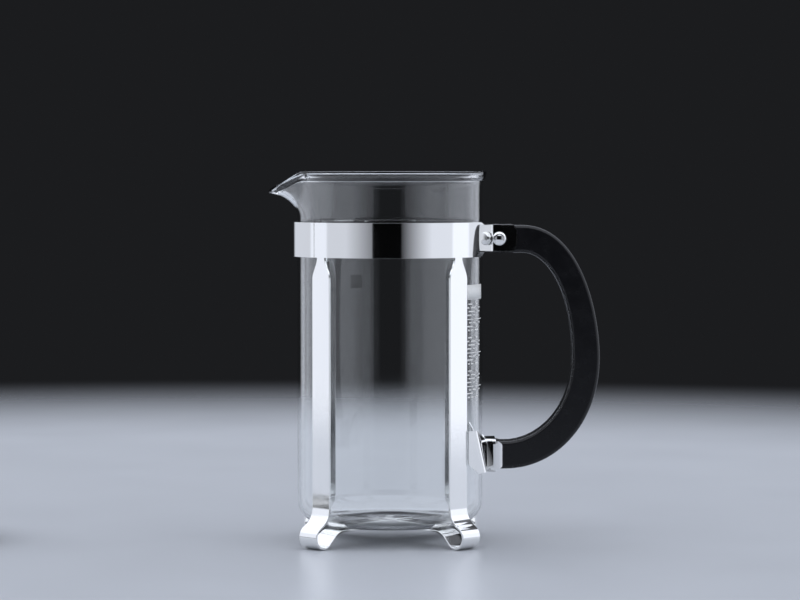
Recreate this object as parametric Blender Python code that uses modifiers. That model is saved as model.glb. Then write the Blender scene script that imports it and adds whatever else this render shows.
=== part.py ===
"""French press: glass beaker in a strap frame, with its lid and plunger set standing beside it."""
import math

import bmesh
import bpy
from mathutils import Matrix, Vector
from mathutils.geometry import interpolate_bezier

MM = 0.001
FIT = 0.3 * MM                    # gap between pieces that touch
BORE_FIT = 0.3 * MM               # radial gap of a shank in its hole
MERGE = 0.00001

# Beaker
GLASS_RADIUS = 47.8 * MM          # outside of the straight wall
GLASS_WALL = 1.8 * MM
GLASS_CORNER = 12.5 * MM          # outside radius of the bottom corner
BEAKER_TOP = 190.4 * MM
RIM_FLARE = 2.1 * MM              # how far the rim stands out from the wall
RIM_HEIGHT = 16.0 * MM            # height over which the rim opens
PUNT = 3.2 * MM                   # rise of the bottom's centre
SPOUT_REACH = 12.6 * MM           # beyond the flared rim
SPOUT_DROP = 11.0 * MM
SPOUT_HALF_ANGLE = math.radians(27)
SPOUT_DEPTH = 24.0 * MM           # height of wall that turns into the spout
SPOUT_BEND = 11.0 * MM            # height of the spout's turned wall

# Frame straps
STRAP = 1.1 * MM                  # strap thickness
STRAP_WIDTH = 12.5 * MM
STRAP_GAP = 0.5 * MM              # between glass and leg strap
TAB_WIDTH = 5.5 * MM              # leg's neck inside the band
NECK_LENGTH = 11.0 * MM           # from the band's lower edge to full width
LEG_ANGLE = math.radians(45)
BASE_HEIGHT = 7.9 * MM            # underside of the lower strap below the beaker
FOOT_CURL = 6.1 * MM              # outside radius of the foot
FOOT_REACH = 3.1 * MM             # foot's centre beyond the leg's outer face
FLARE_RADIUS = 10.0 * MM
FLARE_ANGLE = math.radians(58)
RETURN_ANGLE = math.radians(45)
RETURN_RADIUS = 9.0 * MM
FOOT_FLAT = math.radians(9)       # half angle of the flat that stands on the table
CROSS_HALF = 9.0 * MM             # half length of the raised crossing
CROSS_RAMP = 3.0 * MM             # length over which a strap climbs to the crossing
RIVET_RADIUS = 1.6 * MM
RIVET_HEAD = 3.2 * MM
RIVET_HEAD_HEIGHT = 1.0 * MM

# Band
BAND = 1.3 * MM                   # band thickness
BAND_LOW = 147.5 * MM
BAND_HEIGHT = 17.7 * MM
EAR_LOW = 150.1 * MM
EAR_HEIGHT = 13.6 * MM
EAR_DISTANCE = 17.6 * MM          # glass to the ears' ends
EAR_ROUND = 13.0 * MM             # radius of the ears' ends

# Handle
HANDLE_WIDTH = 16.0 * MM
HANDLE_STANDOFF = 1.6 * MM        # glass to the handle's ends
HANDLE_DISTANCE = 60.3 * MM       # glass to the handle's outermost point
HANDLE_MIDDLE = 95.5 * MM         # height of the handle's outermost point
HANDLE_TOP = 163.5 * MM
HANDLE_BOTTOM = 37.9 * MM
HANDLE_DEPTH = 14.2 * MM          # section seen from the side
HANDLE_EDGE = 1.8 * MM
SHOULDER_RUN = 18.7 * MM          # straight stretch at the top
HEEL_RUN = 10.0 * MM              # straight stretch at the bottom
SHOULDER_PULL = 31.0 * MM         # how far each bend reaches along its straight stretch
HEEL_PULL = 27.5 * MM
INNER_HEEL_PULL = 16.0 * MM
INNER_SHOULDER_PULL = 12.5 * MM
BACK_HIGH_PULL = 21.0 * MM        # and up or down from the outermost point
BACK_LOW_PULL = 33.0 * MM
GRIP_LOW_PULL = 28.0 * MM
GRIP_HIGH_PULL = 35.0 * MM
BOLT_DISTANCE = 8.4 * MM          # glass to the bolt's axis
BOLT_Z = 156.6 * MM
BOLT_RADIUS = 1.9 * MM
BOLT_HEAD_RADIUS = 3.5 * MM
BOLT_HEAD_HEIGHT = 2.4 * MM
NUT_RADIUS = 3.8 * MM
NUT_HEIGHT = 3.0 * MM

# Lower bracket
CLIP_DISTANCE = 1.4 * MM          # glass to the clip's near edge
CLIP_LENGTH = 8.6 * MM
CLIP_ROUND = 2.6 * MM
WING_LOW = 42.4 * MM
WING_HEIGHT = 16.8 * MM
WING_TURN = math.radians(30)      # plan angle of the wings from the X axis
FOLD_HIGH = 5.7 * MM              # leg to the slanting fold along the wing's top
FOLD_LOW = 10.6 * MM              # and along its bottom
WING_TIP = 6.7 * MM               # leg to the wing's lowest corner
TIP_LOW = 37.2 * MM
TIP_RISE = 0.6 * MM               # from there up to the fold's lower end

# Plunger set
ROD_RADIUS = 2.4 * MM
KNOB_RADIUS = 13.5 * MM
KNOB_HEIGHT = 26.0 * MM
KNOB_BORE_DEPTH = 12.0 * MM
SET_HEIGHT = 220.0 * MM           # plunger set from table to the knob's top
COIL_RADIUS = 2.5 * MM
COIL_TURNS = 36
COIL_WIRE = 0.45 * MM             # wire radius
PLATE = 0.8 * MM
MESH_SHEET = 0.4 * MM
FILTER_FIT = 0.35 * MM            # rim coil to the inside of the glass
HUB_RADIUS = 5.2 * MM
HUB_FLANGE = 8.5 * MM
HUB_HEIGHT = 9.5 * MM
SPOKES = 4
SPOKE_WIDTH = 7.0 * MM
CROSS_RIM = 4.5 * MM
CROSS_INSET = 1.15 * MM           # cross plate inside the coil's middle line
PLATE_HOLE = 3.0 * MM             # radius of the spiral plate's holes
PLATE_RINGS = ((16.0 * MM, 8), (26.0 * MM, 14))   # radius and count of each ring of holes
KNOB_NECK = 8.5 * MM
KNOB_WAIST = 0.55                 # share of the knob's height where the ball is widest

# Lid
LID_SKIRT_FIT = 0.6 * MM          # skirt to the inside of the glass
LID_SKIRT = 1.6 * MM
LID_SKIRT_HEIGHT = 13.0 * MM
LID_OVERHANG = 1.4 * MM           # dome edge beyond the beaker's rim
LID_PLATE = 1.8 * MM
DOME_HEIGHT = 21.0 * MM
DOME_SHEET = 1.0 * MM
BUSH_RADIUS = 5.0 * MM
BUSH_FLANGE = 7.5 * MM
RING_RADIUS = 9.0 * MM
RING_HEIGHT = 2.2 * MM
STRAINER_SLOTS = 7
SLOT_WIDTH = 2.2 * MM
SLOT_PITCH = math.radians(6.5)

SET_DISTANCE = 258.0 * MM         # beaker's axis to the plunger's axis
ROUND_FINE = 40
ROUND_SMALL = 24

# Worked out from the sizes above
GLASS_INSIDE = GLASS_RADIUS - GLASS_WALL
STRAP_INSIDE = GLASS_RADIUS + STRAP_GAP
STRAP_OUTSIDE = STRAP_INSIDE + STRAP
BAND_INSIDE = STRAP_OUTSIDE + FIT
CROSS_STEP = STRAP + FIT
HANDLE_START = GLASS_RADIUS + HANDLE_STANDOFF
HANDLE_REACH = GLASS_RADIUS + HANDLE_DISTANCE
BOLT_X = GLASS_RADIUS + BOLT_DISTANCE
EAR_END = GLASS_RADIUS + EAR_DISTANCE
CLIP_START = GLASS_RADIUS + CLIP_DISTANCE
EAR_START = BOLT_X - BOLT_HEAD_RADIUS - FIT - 0.65 * BAND   # ears turn along the handle here
BEAKER_REST = BASE_HEIGHT + STRAP + FIT
EAR_SEAT = HANDLE_WIDTH / 2 - BAND - FIT      # half width of the handle between the ears
EAR_INSIDE = EAR_SEAT + FIT
CLIP_INSIDE = HANDLE_WIDTH / 2 + FIT
LID_RADIUS = GLASS_RADIUS + RIM_FLARE + LID_OVERHANG
COIL_RING = GLASS_INSIDE - FILTER_FIT - COIL_RADIUS
COIL_MIDDLE = PLATE + MESH_SHEET + 2 * FIT + COIL_RADIUS
CROSS_RADIUS = COIL_RING - CROSS_INSET
LID_LOW = COIL_MIDDLE + COIL_RADIUS + FIT
LID_PLATE_LOW = LID_LOW + LID_SKIRT_HEIGHT
LID_PLATE_HIGH = LID_PLATE_LOW + LID_PLATE
SKIRT_RADIUS = GLASS_INSIDE - LID_SKIRT_FIT
PRESS_X = (SET_DISTANCE + LID_RADIUS - HANDLE_REACH) / 2
PLUNGER_X = PRESS_X - SET_DISTANCE

# Colour, roughness, metallic and alpha of each finish
GLASS = ((0.85, 0.9, 0.9), 0.02, 0.0, 0.3)
STEEL = ((0.78, 0.78, 0.77), 0.12, 1.0)
BLACK = ((0.015, 0.015, 0.016), 0.35)
MESH = ((0.55, 0.55, 0.54), 0.4, 1.0)


def make_material(name, colour, roughness, metallic=0.0, alpha=1.0):
    """A plain Principled material."""
    material = bpy.data.materials.new(name)
    material.use_nodes = True
    shader = material.node_tree.nodes["Principled BSDF"]
    shader.inputs["Base Color"].default_value = (*colour, 1.0)
    shader.inputs["Roughness"].default_value = roughness
    shader.inputs["Metallic"].default_value = metallic
    shader.inputs["Alpha"].default_value = alpha
    return material


def make_collection(name):
    collection = bpy.data.collections.new(name)
    bpy.context.scene.collection.children.link(collection)
    return collection


def make_axis(name, x):
    """An empty that carries everything turning or sliding about one upright axis."""
    axis = bpy.data.objects.new(name, None)
    axis.location = (x, 0, 0)
    bpy.context.scene.collection.objects.link(axis)
    return axis


def add_piece(name, mesh, finish, axis, smooth_angle=40):
    """Put a mesh in the scene as one named piece hung on its axis."""
    piece = bpy.data.objects.new(name, mesh)
    parts.objects.link(piece)
    piece.parent = axis
    mesh.materials.append(make_material(name + "_finish", *finish))
    if mesh.polygons:
        smooth(mesh, smooth_angle)
    return piece


def smooth(mesh, angle):
    mesh.shade_smooth()
    mesh.set_sharp_from_angle(angle=math.radians(angle))


def chain_mesh(name, profile, closed):
    """A profile of (radius, height) points as a string of edges in the XZ plane."""
    count = len(profile)
    links = [(i, i + 1) for i in range(count - 1)]
    if closed:
        links.append((count - 1, 0))
    mesh = bpy.data.meshes.new(name)
    mesh.from_pydata([(r, 0, z) for r, z in profile], links, [])
    return mesh


def turned(name, profile, finish, axis, closed=False, steps=ROUND_FINE):
    """A turned piece: the profile runs down its outer side and is screwed about Z."""
    piece = add_piece(name, chain_mesh(name, profile, closed), finish, axis)
    screw = piece.modifiers.new("turn", "SCREW")
    screw.steps = steps
    screw.render_steps = steps
    screw.use_merge_vertices = True
    screw.merge_threshold = MERGE
    screw.use_smooth_shade = True
    return piece


def arc(centre, radius, start, end, steps):
    """Points on a circle's arc, angles in radians, both ends included."""
    angles = [start + (end - start) * i / steps for i in range(steps + 1)]
    return [(centre[0] + radius * math.cos(a), centre[1] + radius * math.sin(a)) for a in angles]


def strip_mesh(name, rails):
    """An open sheet between a lower and an upper rail of points."""
    sheet = bmesh.new()
    pairs = [(sheet.verts.new(low), sheet.verts.new(high)) for low, high in rails]
    for (low_a, high_a), (low_b, high_b) in zip(pairs, pairs[1:]):
        sheet.faces.new((low_a, low_b, high_b, high_a))
    bmesh.ops.remove_doubles(sheet, verts=sheet.verts, dist=MERGE)
    mesh = bpy.data.meshes.new(name)
    sheet.to_mesh(mesh)
    sheet.free()
    return mesh


def thicken(piece, thickness, offset):
    """Give an open sheet its thickness; an offset of 1 grows along its normals."""
    wall = piece.modifiers.new("wall", "SOLIDIFY")
    wall.thickness = thickness
    wall.offset = offset
    wall.use_even_offset = True


def mirror(piece, axis_index):
    """Complete a half that is open at the plane."""
    other = piece.modifiers.new("mirror", "MIRROR")
    other.use_axis = [i == axis_index for i in range(3)]
    other.merge_threshold = MERGE


def round_edges(piece, width, segments=2, angle=50):
    edge = piece.modifiers.new("edges", "BEVEL")
    edge.width = width
    edge.segments = segments
    edge.limit_method = "ANGLE"
    edge.angle_limit = math.radians(angle)


def make_cutter(name, mesh, axis):
    cutter = bpy.data.objects.new(name, mesh)
    cutters.objects.link(cutter)
    cutter.parent = axis
    cutter.hide_render = True
    cutter.display_type = "WIRE"
    return cutter


def cut(piece, cutter, operation="DIFFERENCE", solver="EXACT"):
    boolean = piece.modifiers.new(cutter.name, "BOOLEAN")
    boolean.operation = operation
    boolean.object = cutter
    boolean.solver = solver


def block_mesh(name, low, high):
    """A box between two corners."""
    block = bmesh.new()
    size = Vector(high) - Vector(low)
    place = Matrix.Translation((Vector(high) + Vector(low)) / 2) @ Matrix.Diagonal((*size, 1))
    bmesh.ops.create_cube(block, size=1, matrix=place)
    mesh = bpy.data.meshes.new(name)
    block.to_mesh(mesh)
    block.free()
    return mesh


def rod_mesh(name, radius, start, end, sides=ROUND_SMALL):
    """A plain cylinder from one point to another."""
    solid = bmesh.new()
    start = Vector(start)
    end = Vector(end)
    turn = (end - start).to_track_quat("Z", "X").to_matrix().to_4x4()
    bmesh.ops.create_cone(
        solid,
        cap_ends=True,
        segments=sides,
        radius1=radius,
        radius2=radius,
        depth=(end - start).length,
        matrix=Matrix.Translation((start + end) / 2) @ turn,
    )
    mesh = bpy.data.meshes.new(name)
    solid.to_mesh(mesh)
    solid.free()
    return mesh


def plate_mesh(name, outlines, thickness, upright=False):
    """A flat plate from closed outlines; the first is its edge and the others are holes."""
    curve = bpy.data.curves.new(name, "CURVE")
    curve.dimensions = "2D"
    curve.fill_mode = "BOTH"
    curve.extrude = thickness / 2
    for outline in outlines:
        spline = curve.splines.new("POLY")
        spline.points.add(len(outline) - 1)
        for point, (u, v) in zip(spline.points, outline):
            point.co = (u, v, 0, 1)
        spline.use_cyclic_u = True
    holder = bpy.data.objects.new(name + "_outline", curve)
    if upright:
        holder.rotation_euler = (math.pi / 2, 0, 0)
    cutters.objects.link(holder)
    bpy.context.view_layer.update()
    seen = holder.evaluated_get(bpy.context.evaluated_depsgraph_get())
    mesh = bpy.data.meshes.new_from_object(seen)
    mesh.transform(holder.matrix_world)
    mesh.name = name
    weld = bmesh.new()
    weld.from_mesh(mesh)
    bmesh.ops.remove_doubles(weld, verts=weld.verts, dist=MERGE)
    bmesh.ops.recalc_face_normals(weld, faces=weld.faces)
    weld.to_mesh(mesh)
    weld.free()
    bpy.data.objects.remove(holder)
    bpy.data.curves.remove(curve)
    return mesh


def circle(radius, steps, centre=(0, 0)):
    return arc(centre, radius, 0, 2 * math.pi * (steps - 1) / steps, steps - 1)


def bezier(start, start_pull, end_pull, end, steps):
    """Points along one curved stretch of an outline, without its last point."""
    knots = [Vector((*knot, 0)) for knot in (start, start_pull, end_pull, end)]
    return [(point.x, point.y) for point in interpolate_bezier(*knots, steps + 1)][:-1]


# ---------------------------------------------------------------- beaker
def beaker_profile():
    """Outer surface from the rim down to the bottom's centre."""
    corner_r = GLASS_RADIUS - GLASS_CORNER
    corner_z = BEAKER_REST + GLASS_CORNER
    flare_low = BEAKER_TOP - RIM_HEIGHT
    rim = []
    for share in (1.0, 0.92, 0.8, 0.6, 0.3):
        rim.append((GLASS_RADIUS + RIM_FLARE * share ** 4, flare_low + RIM_HEIGHT * share))
    wall = [(GLASS_RADIUS, BEAKER_TOP - SPOUT_DEPTH * share) for share in (0.75, 0.88, 1.0)]
    wall.append((GLASS_RADIUS, (BEAKER_TOP + corner_z) / 2))
    corner = arc((corner_r, corner_z), GLASS_CORNER, 0, -math.pi / 2, 5)
    punt = [(corner_r * share, BEAKER_REST + PUNT * (1 - share ** 2) ** 2) for share in (0.75, 0.4)]
    return rim + wall + corner + punt + [(0, BEAKER_REST + PUNT)]


def pull_spout(point):
    """Turn the rim outwards and down over a narrow angle on the -X side."""
    angle = math.pi - abs(math.atan2(point.y, point.x))
    up = (point.z - (BEAKER_TOP - SPOUT_DEPTH)) / SPOUT_DEPTH
    if angle >= SPOUT_HALF_ANGLE or up <= 0:
        return point
    share = math.cos(math.pi / 2 * angle / SPOUT_HALF_ANGLE) ** 2
    turn = math.pi / 2 * up
    radius = math.hypot(point.x, point.y)
    reach = radius + (SPOUT_REACH + RIM_FLARE * (1 - up ** 4)) * (1 - math.cos(turn)) * share
    start = BEAKER_TOP - SPOUT_DEPTH
    bent = start + SPOUT_BEND * math.sin(turn) + (SPOUT_DEPTH - SPOUT_BEND - SPOUT_DROP) * up
    height = point.z + (bent - point.z) * share
    return Vector((point.x * reach / radius, point.y * reach / radius, height))


def build_beaker(axis):
    shell = bmesh.new()
    chain = [shell.verts.new((r, 0, z)) for r, z in beaker_profile()]
    edges = [shell.edges.new(pair) for pair in zip(chain, chain[1:])]
    bmesh.ops.spin(
        shell,
        geom=chain + edges,
        axis=(0, 0, 1),
        cent=(0, 0, 0),
        angle=2 * math.pi,
        steps=ROUND_FINE,
        use_merge=True,
    )
    bmesh.ops.remove_doubles(shell, verts=shell.verts, dist=MERGE)
    bmesh.ops.recalc_face_normals(shell, faces=shell.faces)
    wall_face = max(shell.faces, key=lambda face: face.calc_area())
    middle = wall_face.calc_center_median()
    if wall_face.normal.dot(Vector((middle.x, middle.y, 0))) < 0:
        bmesh.ops.reverse_faces(shell, faces=shell.faces)
    for vert in shell.verts:
        vert.co = pull_spout(vert.co)
    mesh = bpy.data.meshes.new("beaker")
    shell.to_mesh(mesh)
    shell.free()
    beaker = add_piece("beaker", mesh, GLASS, axis)
    thicken(beaker, GLASS_WALL, -1)
    round_edges(beaker, 0.6 * MM, segments=1, angle=60)


# ---------------------------------------------------------------- frame
def band_rails():
    """Plan of the band's inner face on the -Y side, from the back to the ear's end."""
    corner = math.hypot(EAR_START, EAR_INSIDE)
    leave = math.atan2(EAR_INSIDE, EAR_START) + math.acos(BAND_INSIDE / corner)
    plan = arc((0, 0), BAND_INSIDE, -math.pi, -leave, 22)
    band_top = BAND_LOW + BAND_HEIGHT
    ear_top = EAR_LOW + EAR_HEIGHT
    rails = [((x, y, BAND_LOW), (x, y, band_top)) for x, y in plan]
    x, y = plan[-1]
    for share in (0.18, 1.0):
        step_x = x + (EAR_START - x) * share
        step_y = y + (-EAR_INSIDE - y) * share
        rails.append(((step_x, step_y, EAR_LOW), (step_x, step_y, ear_top)))
    middle = EAR_LOW + EAR_HEIGHT / 2
    half = EAR_HEIGHT / 2
    for share in (1.0, 0.8, 0.5, 0.2):
        sag = EAR_ROUND - math.sqrt(EAR_ROUND ** 2 - (half * share) ** 2)
        end = EAR_END - sag
        rails.append(((end, -EAR_INSIDE, middle - half * share), (end, -EAR_INSIDE, middle + half * share)))
    return rails


def build_band(axis):
    band = add_piece("band", strip_mesh("band", band_rails()), STEEL, axis, smooth_angle=25)
    mirror(band, 1)
    thicken(band, BAND, 1)
    reach = HANDLE_WIDTH
    bore = rod_mesh("band_bore", BOLT_RADIUS + BORE_FIT, (BOLT_X, -reach, BOLT_Z), (BOLT_X, reach, BOLT_Z), 16)
    cut(band, make_cutter("band_bore", bore, axis))


def leg_path():
    """Outer face of half a strap as (radius, height), from the tab down and in to the centre."""
    foot_z = FOOT_CURL * math.cos(FOOT_FLAT)
    foot = (STRAP_OUTSIDE + FOOT_REACH, foot_z)
    low = -math.pi / 2
    curl = arc(foot, FOOT_CURL, FLARE_ANGLE, low + FOOT_FLAT, 7)
    curl += arc(foot, FOOT_CURL, low - FOOT_FLAT, -math.pi + RETURN_ANGLE, 3)
    slope = FLARE_ANGLE - math.pi / 2
    run_x = FLARE_RADIUS * (1 - math.cos(FLARE_ANGLE))
    line = (curl[0][0] - STRAP_OUTSIDE - run_x) * math.tan(slope)
    flare_z = curl[0][1] - line + FLARE_RADIUS * math.sin(FLARE_ANGLE)
    flare = arc((STRAP_OUTSIDE + FLARE_RADIUS, flare_z), FLARE_RADIUS, math.pi, math.pi + FLARE_ANGLE, 5)
    end_x, end_z = curl[-1]
    rise = RETURN_RADIUS * (1 - math.cos(RETURN_ANGLE))
    climb = BASE_HEIGHT - rise - end_z
    turn_x = end_x - climb / math.tan(RETURN_ANGLE)
    back = arc((turn_x - RETURN_RADIUS * math.sin(RETURN_ANGLE), BASE_HEIGHT - RETURN_RADIUS),
               RETURN_RADIUS, math.pi / 2 - RETURN_ANGLE, math.pi / 2, 4)
    return flare + curl + back


def build_leg_strap(name, axis, angle, step):
    """A U-shaped strap with two legs; step is how far its middle is raised at the crossing."""
    tab_top = BAND_LOW + BAND_HEIGHT - 2 * MM
    sections = [
        (STRAP_OUTSIDE, tab_top, TAB_WIDTH),
        (STRAP_OUTSIDE, BAND_LOW, TAB_WIDTH),
        (STRAP_OUTSIDE, BAND_LOW - NECK_LENGTH, STRAP_WIDTH),
    ]
    sections += [(r, z, STRAP_WIDTH) for r, z in leg_path()]
    sections.append((CROSS_HALF + CROSS_RAMP, BASE_HEIGHT, STRAP_WIDTH))
    sections.append((CROSS_HALF, BASE_HEIGHT + step, STRAP_WIDTH))
    sections.append((0, BASE_HEIGHT + step, STRAP_WIDTH))
    rails = [((r, -width / 2, z), (r, width / 2, z)) for r, z, width in sections]
    strap = add_piece(name, strip_mesh(name, rails), STEEL, axis, smooth_angle=35)
    strap.rotation_euler = (0, 0, angle)
    mirror(strap, 0)
    thicken(strap, STRAP, -1)
    hole = rod_mesh(name + "_hole", RIVET_RADIUS + BORE_FIT, (0, 0, 0), (0, 0, 2 * BASE_HEIGHT), 16)
    cut(strap, make_cutter(name + "_hole", hole, axis))


def build_rivet(axis):
    low = BASE_HEIGHT - FIT
    high = BASE_HEIGHT + CROSS_STEP + STRAP + FIT
    profile = [
        (0, high + RIVET_HEAD_HEIGHT),
        (RIVET_HEAD * 0.7, high + RIVET_HEAD_HEIGHT * 0.8),
        (RIVET_HEAD, high),
        (RIVET_RADIUS, high),
        (RIVET_RADIUS, low),
        (RIVET_HEAD, low),
        (RIVET_HEAD * 0.7, low - RIVET_HEAD_HEIGHT * 0.8),
        (0, low - RIVET_HEAD_HEIGHT),
    ]
    turned("cross_rivet", profile, STEEL, axis, steps=ROUND_SMALL)


def build_lower_bracket(axis):
    """Wings from the two right-hand legs that fold along a slant into the clip."""
    leg = Vector((math.cos(LEG_ANGLE), -math.sin(LEG_ANGLE), 0)) * STRAP_OUTSIDE
    side = Vector((math.sin(LEG_ANGLE), math.cos(LEG_ANGLE), 0))
    root = leg + side * (STRAP_WIDTH / 2 + FIT)
    clip_low = HANDLE_BOTTOM - FIT - STRAP
    clip_high = HANDLE_BOTTOM + HANDLE_DEPTH + FIT + STRAP
    wing_high = WING_LOW + WING_HEIGHT
    turn = Vector((CLIP_START, -CLIP_INSIDE, 0))
    along = Vector((math.cos(WING_TURN), math.sin(WING_TURN), 0))
    tip = root + along * WING_TIP
    fold_top = root + along * FOLD_HIGH
    fold_low = root + along * FOLD_LOW
    fold_high = (fold_top.x, fold_top.y, wing_high)
    rails = [
        ((root.x, root.y, WING_LOW), (root.x, root.y, wing_high)),
        ((tip.x, tip.y, TIP_LOW), fold_high),
        ((fold_low.x, fold_low.y, TIP_LOW + TIP_RISE), fold_high),
        ((turn.x, turn.y, clip_low), (turn.x, turn.y, clip_high)),
    ]
    end = CLIP_START + CLIP_LENGTH
    for back, inset in ((1.0, 0.0), (0.5, 0.14), (0.14, 0.5), (0.0, 1.0)):
        x = end - CLIP_ROUND * back
        rails.append(((x, turn.y, clip_low + CLIP_ROUND * inset), (x, turn.y, clip_high - CLIP_ROUND * inset)))
    bracket = add_piece("lower_bracket", strip_mesh("lower_bracket", rails), STEEL, axis, smooth_angle=25)
    mirror(bracket, 1)
    thicken(bracket, STRAP, 1)
    reach = CLIP_INSIDE + STRAP / 2
    for name, low, high in (
        ("clip_floor", clip_low + 0.05 * MM, HANDLE_BOTTOM - FIT),
        ("clip_roof", HANDLE_BOTTOM + HANDLE_DEPTH + FIT, clip_high - 0.05 * MM),
    ):
        box = block_mesh(name, (CLIP_START + 0.2 * MM, -reach, low), (end - CLIP_ROUND, reach, high))
        cut(bracket, make_cutter(name, box, axis), "UNION")


# ---------------------------------------------------------------- handle
def handle_outline():
    """Side outline in X and Z: the outer edge down, then the inner edge back up."""
    inner_reach = HANDLE_REACH - HANDLE_DEPTH
    top_in = HANDLE_TOP - HANDLE_DEPTH
    bottom_in = HANDLE_BOTTOM + HANDLE_DEPTH
    shoulder = (HANDLE_START + SHOULDER_RUN, HANDLE_TOP)
    heel = (HANDLE_START + HEEL_RUN, HANDLE_BOTTOM)
    outer = (HANDLE_REACH, HANDLE_MIDDLE)
    inner = (inner_reach, HANDLE_MIDDLE)
    shoulder_in = (shoulder[0], top_in)
    heel_in = (heel[0], bottom_in)
    points = [(HANDLE_START, HANDLE_TOP)]
    points += bezier(
        shoulder, (shoulder[0] + SHOULDER_PULL, HANDLE_TOP), (outer[0], outer[1] + BACK_HIGH_PULL), outer, 9
    )
    points += bezier(outer, (outer[0], outer[1] - BACK_LOW_PULL), (heel[0] + HEEL_PULL, HANDLE_BOTTOM), heel, 9)
    points += [heel, (HANDLE_START, HANDLE_BOTTOM), (HANDLE_START, bottom_in)]
    points += bezier(
        heel_in, (heel_in[0] + INNER_HEEL_PULL, bottom_in), (inner[0], inner[1] - GRIP_LOW_PULL), inner, 9
    )
    shoulder_pull = (shoulder_in[0] + INNER_SHOULDER_PULL, top_in)
    points += bezier(inner, (inner[0], inner[1] + GRIP_HIGH_PULL), shoulder_pull, shoulder_in, 9)
    points += [shoulder_in, (HANDLE_START, top_in)]
    return points


def build_handle(axis):
    mesh = plate_mesh("handle", [handle_outline()], HANDLE_WIDTH, upright=True)
    handle = add_piece("handle", mesh, BLACK, axis)
    round_edges(handle, HANDLE_EDGE, segments=3)
    middle = EAR_LOW + EAR_HEIGHT / 2
    half = EAR_HEIGHT
    recess_round = EAR_ROUND + FIT
    tilt = math.asin(half / recess_round) if half < recess_round else math.pi / 2
    end = arc((EAR_END - EAR_ROUND, middle), recess_round, -tilt, tilt, 10)
    outline = end + [(HANDLE_START - 2 * MM, middle + half), (HANDLE_START - 2 * MM, middle - half)]
    depth = HANDLE_WIDTH / 2 - EAR_SEAT + 2 * MM
    for name, side in (("recess_front", -1), ("recess_rear", 1)):
        recess = plate_mesh(name, [outline], depth, upright=True)
        recess.transform(Matrix.Translation((0, side * (EAR_SEAT + depth / 2), 0)))
        cut(handle, make_cutter(name, recess, axis), solver="MANIFOLD")
    reach = HANDLE_WIDTH
    bore = rod_mesh("handle_bore", BOLT_RADIUS + BORE_FIT, (BOLT_X, -reach, BOLT_Z), (BOLT_X, reach, BOLT_Z), 16)
    cut(handle, make_cutter("handle_bore", bore, axis), solver="MANIFOLD")


def build_bolt(axis):
    """Domed bolt through both ears, head on the -Y side."""
    face = EAR_INSIDE + BAND + FIT
    shank = 2 * face + NUT_HEIGHT + 0.6 * MM
    dome = [(BOLT_HEAD_RADIUS * math.sin(a), BOLT_HEAD_HEIGHT * math.cos(a))
            for a in (0, 0.45, 0.85, 1.2, math.pi / 2)]
    profile = dome + [(BOLT_RADIUS, 0), (BOLT_RADIUS, -shank), (0, -shank)]
    bolt = turned("handle_bolt", profile, STEEL, axis, steps=ROUND_SMALL)
    bolt.location = (BOLT_X, -face, BOLT_Z)
    bolt.rotation_euler = (math.pi / 2, 0, 0)


def build_nut(axis):
    face = EAR_INSIDE + BAND + FIT
    body = rod_mesh("handle_nut", NUT_RADIUS, (BOLT_X, face, BOLT_Z), (BOLT_X, face + NUT_HEIGHT, BOLT_Z), 6)
    nut = add_piece("handle_nut", body, STEEL, axis)
    reach = HANDLE_WIDTH
    bore = rod_mesh("nut_bore", BOLT_RADIUS + BORE_FIT, (BOLT_X, 0, BOLT_Z), (BOLT_X, reach, BOLT_Z), 16)
    cut(nut, make_cutter("nut_bore", bore, axis))


# ---------------------------------------------------------------- plunger
def build_cross_plate(axis):
    """Rim, spokes and centre left between four openings."""
    inside = CROSS_RADIUS - CROSS_RIM
    outlines = [circle(CROSS_RADIUS, ROUND_FINE)]
    centre_radius = HUB_FLANGE + 2.5 * MM
    for index in range(SPOKES):
        start = 2 * math.pi * index / SPOKES
        end = start + 2 * math.pi / SPOKES
        far = SPOKE_WIDTH / 2 / inside
        near = SPOKE_WIDTH / 2 / centre_radius
        outlines.append(
            arc((0, 0), inside, start + far, end - far, 8) + arc((0, 0), centre_radius, end - near, start + near, 3)
        )
    mesh = plate_mesh("cross_plate", outlines, PLATE)
    mesh.transform(Matrix.Translation((0, 0, PLATE / 2)))
    add_piece("cross_plate", mesh, STEEL, axis)


def build_filter_mesh(axis):
    low = PLATE + FIT
    high = low + MESH_SHEET
    outer = COIL_RING + COIL_RADIUS * 0.6
    bore = HUB_RADIUS + FIT
    turned("filter_mesh", [(outer, high), (outer, low), (bore, low), (bore, high)], MESH, axis, closed=True)


def build_spiral_plate(axis):
    """Perforated dished plate that carries the coil on its rim."""
    edge = COIL_RING - COIL_RADIUS - COIL_WIRE - FIT + 0.4 * MM
    outlines = [circle(edge, ROUND_FINE), circle(HUB_RADIUS + FIT, 16)]
    for ring, count in PLATE_RINGS:
        for index in range(count):
            turn = 2 * math.pi * (index + 0.5) / count
            outlines.append(circle(PLATE_HOLE, 8, (ring * math.cos(turn), ring * math.sin(turn))))
    mesh = plate_mesh("spiral_plate", outlines, PLATE)
    base = PLATE + MESH_SHEET + 2 * FIT + PLATE / 2
    for vert in mesh.vertices:
        radius = math.hypot(vert.co.x, vert.co.y)
        rise = COIL_MIDDLE - base if radius > edge - 1 * MM else 0
        vert.co.z += base + rise
    add_piece("spiral_plate", mesh, STEEL, axis)


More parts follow.
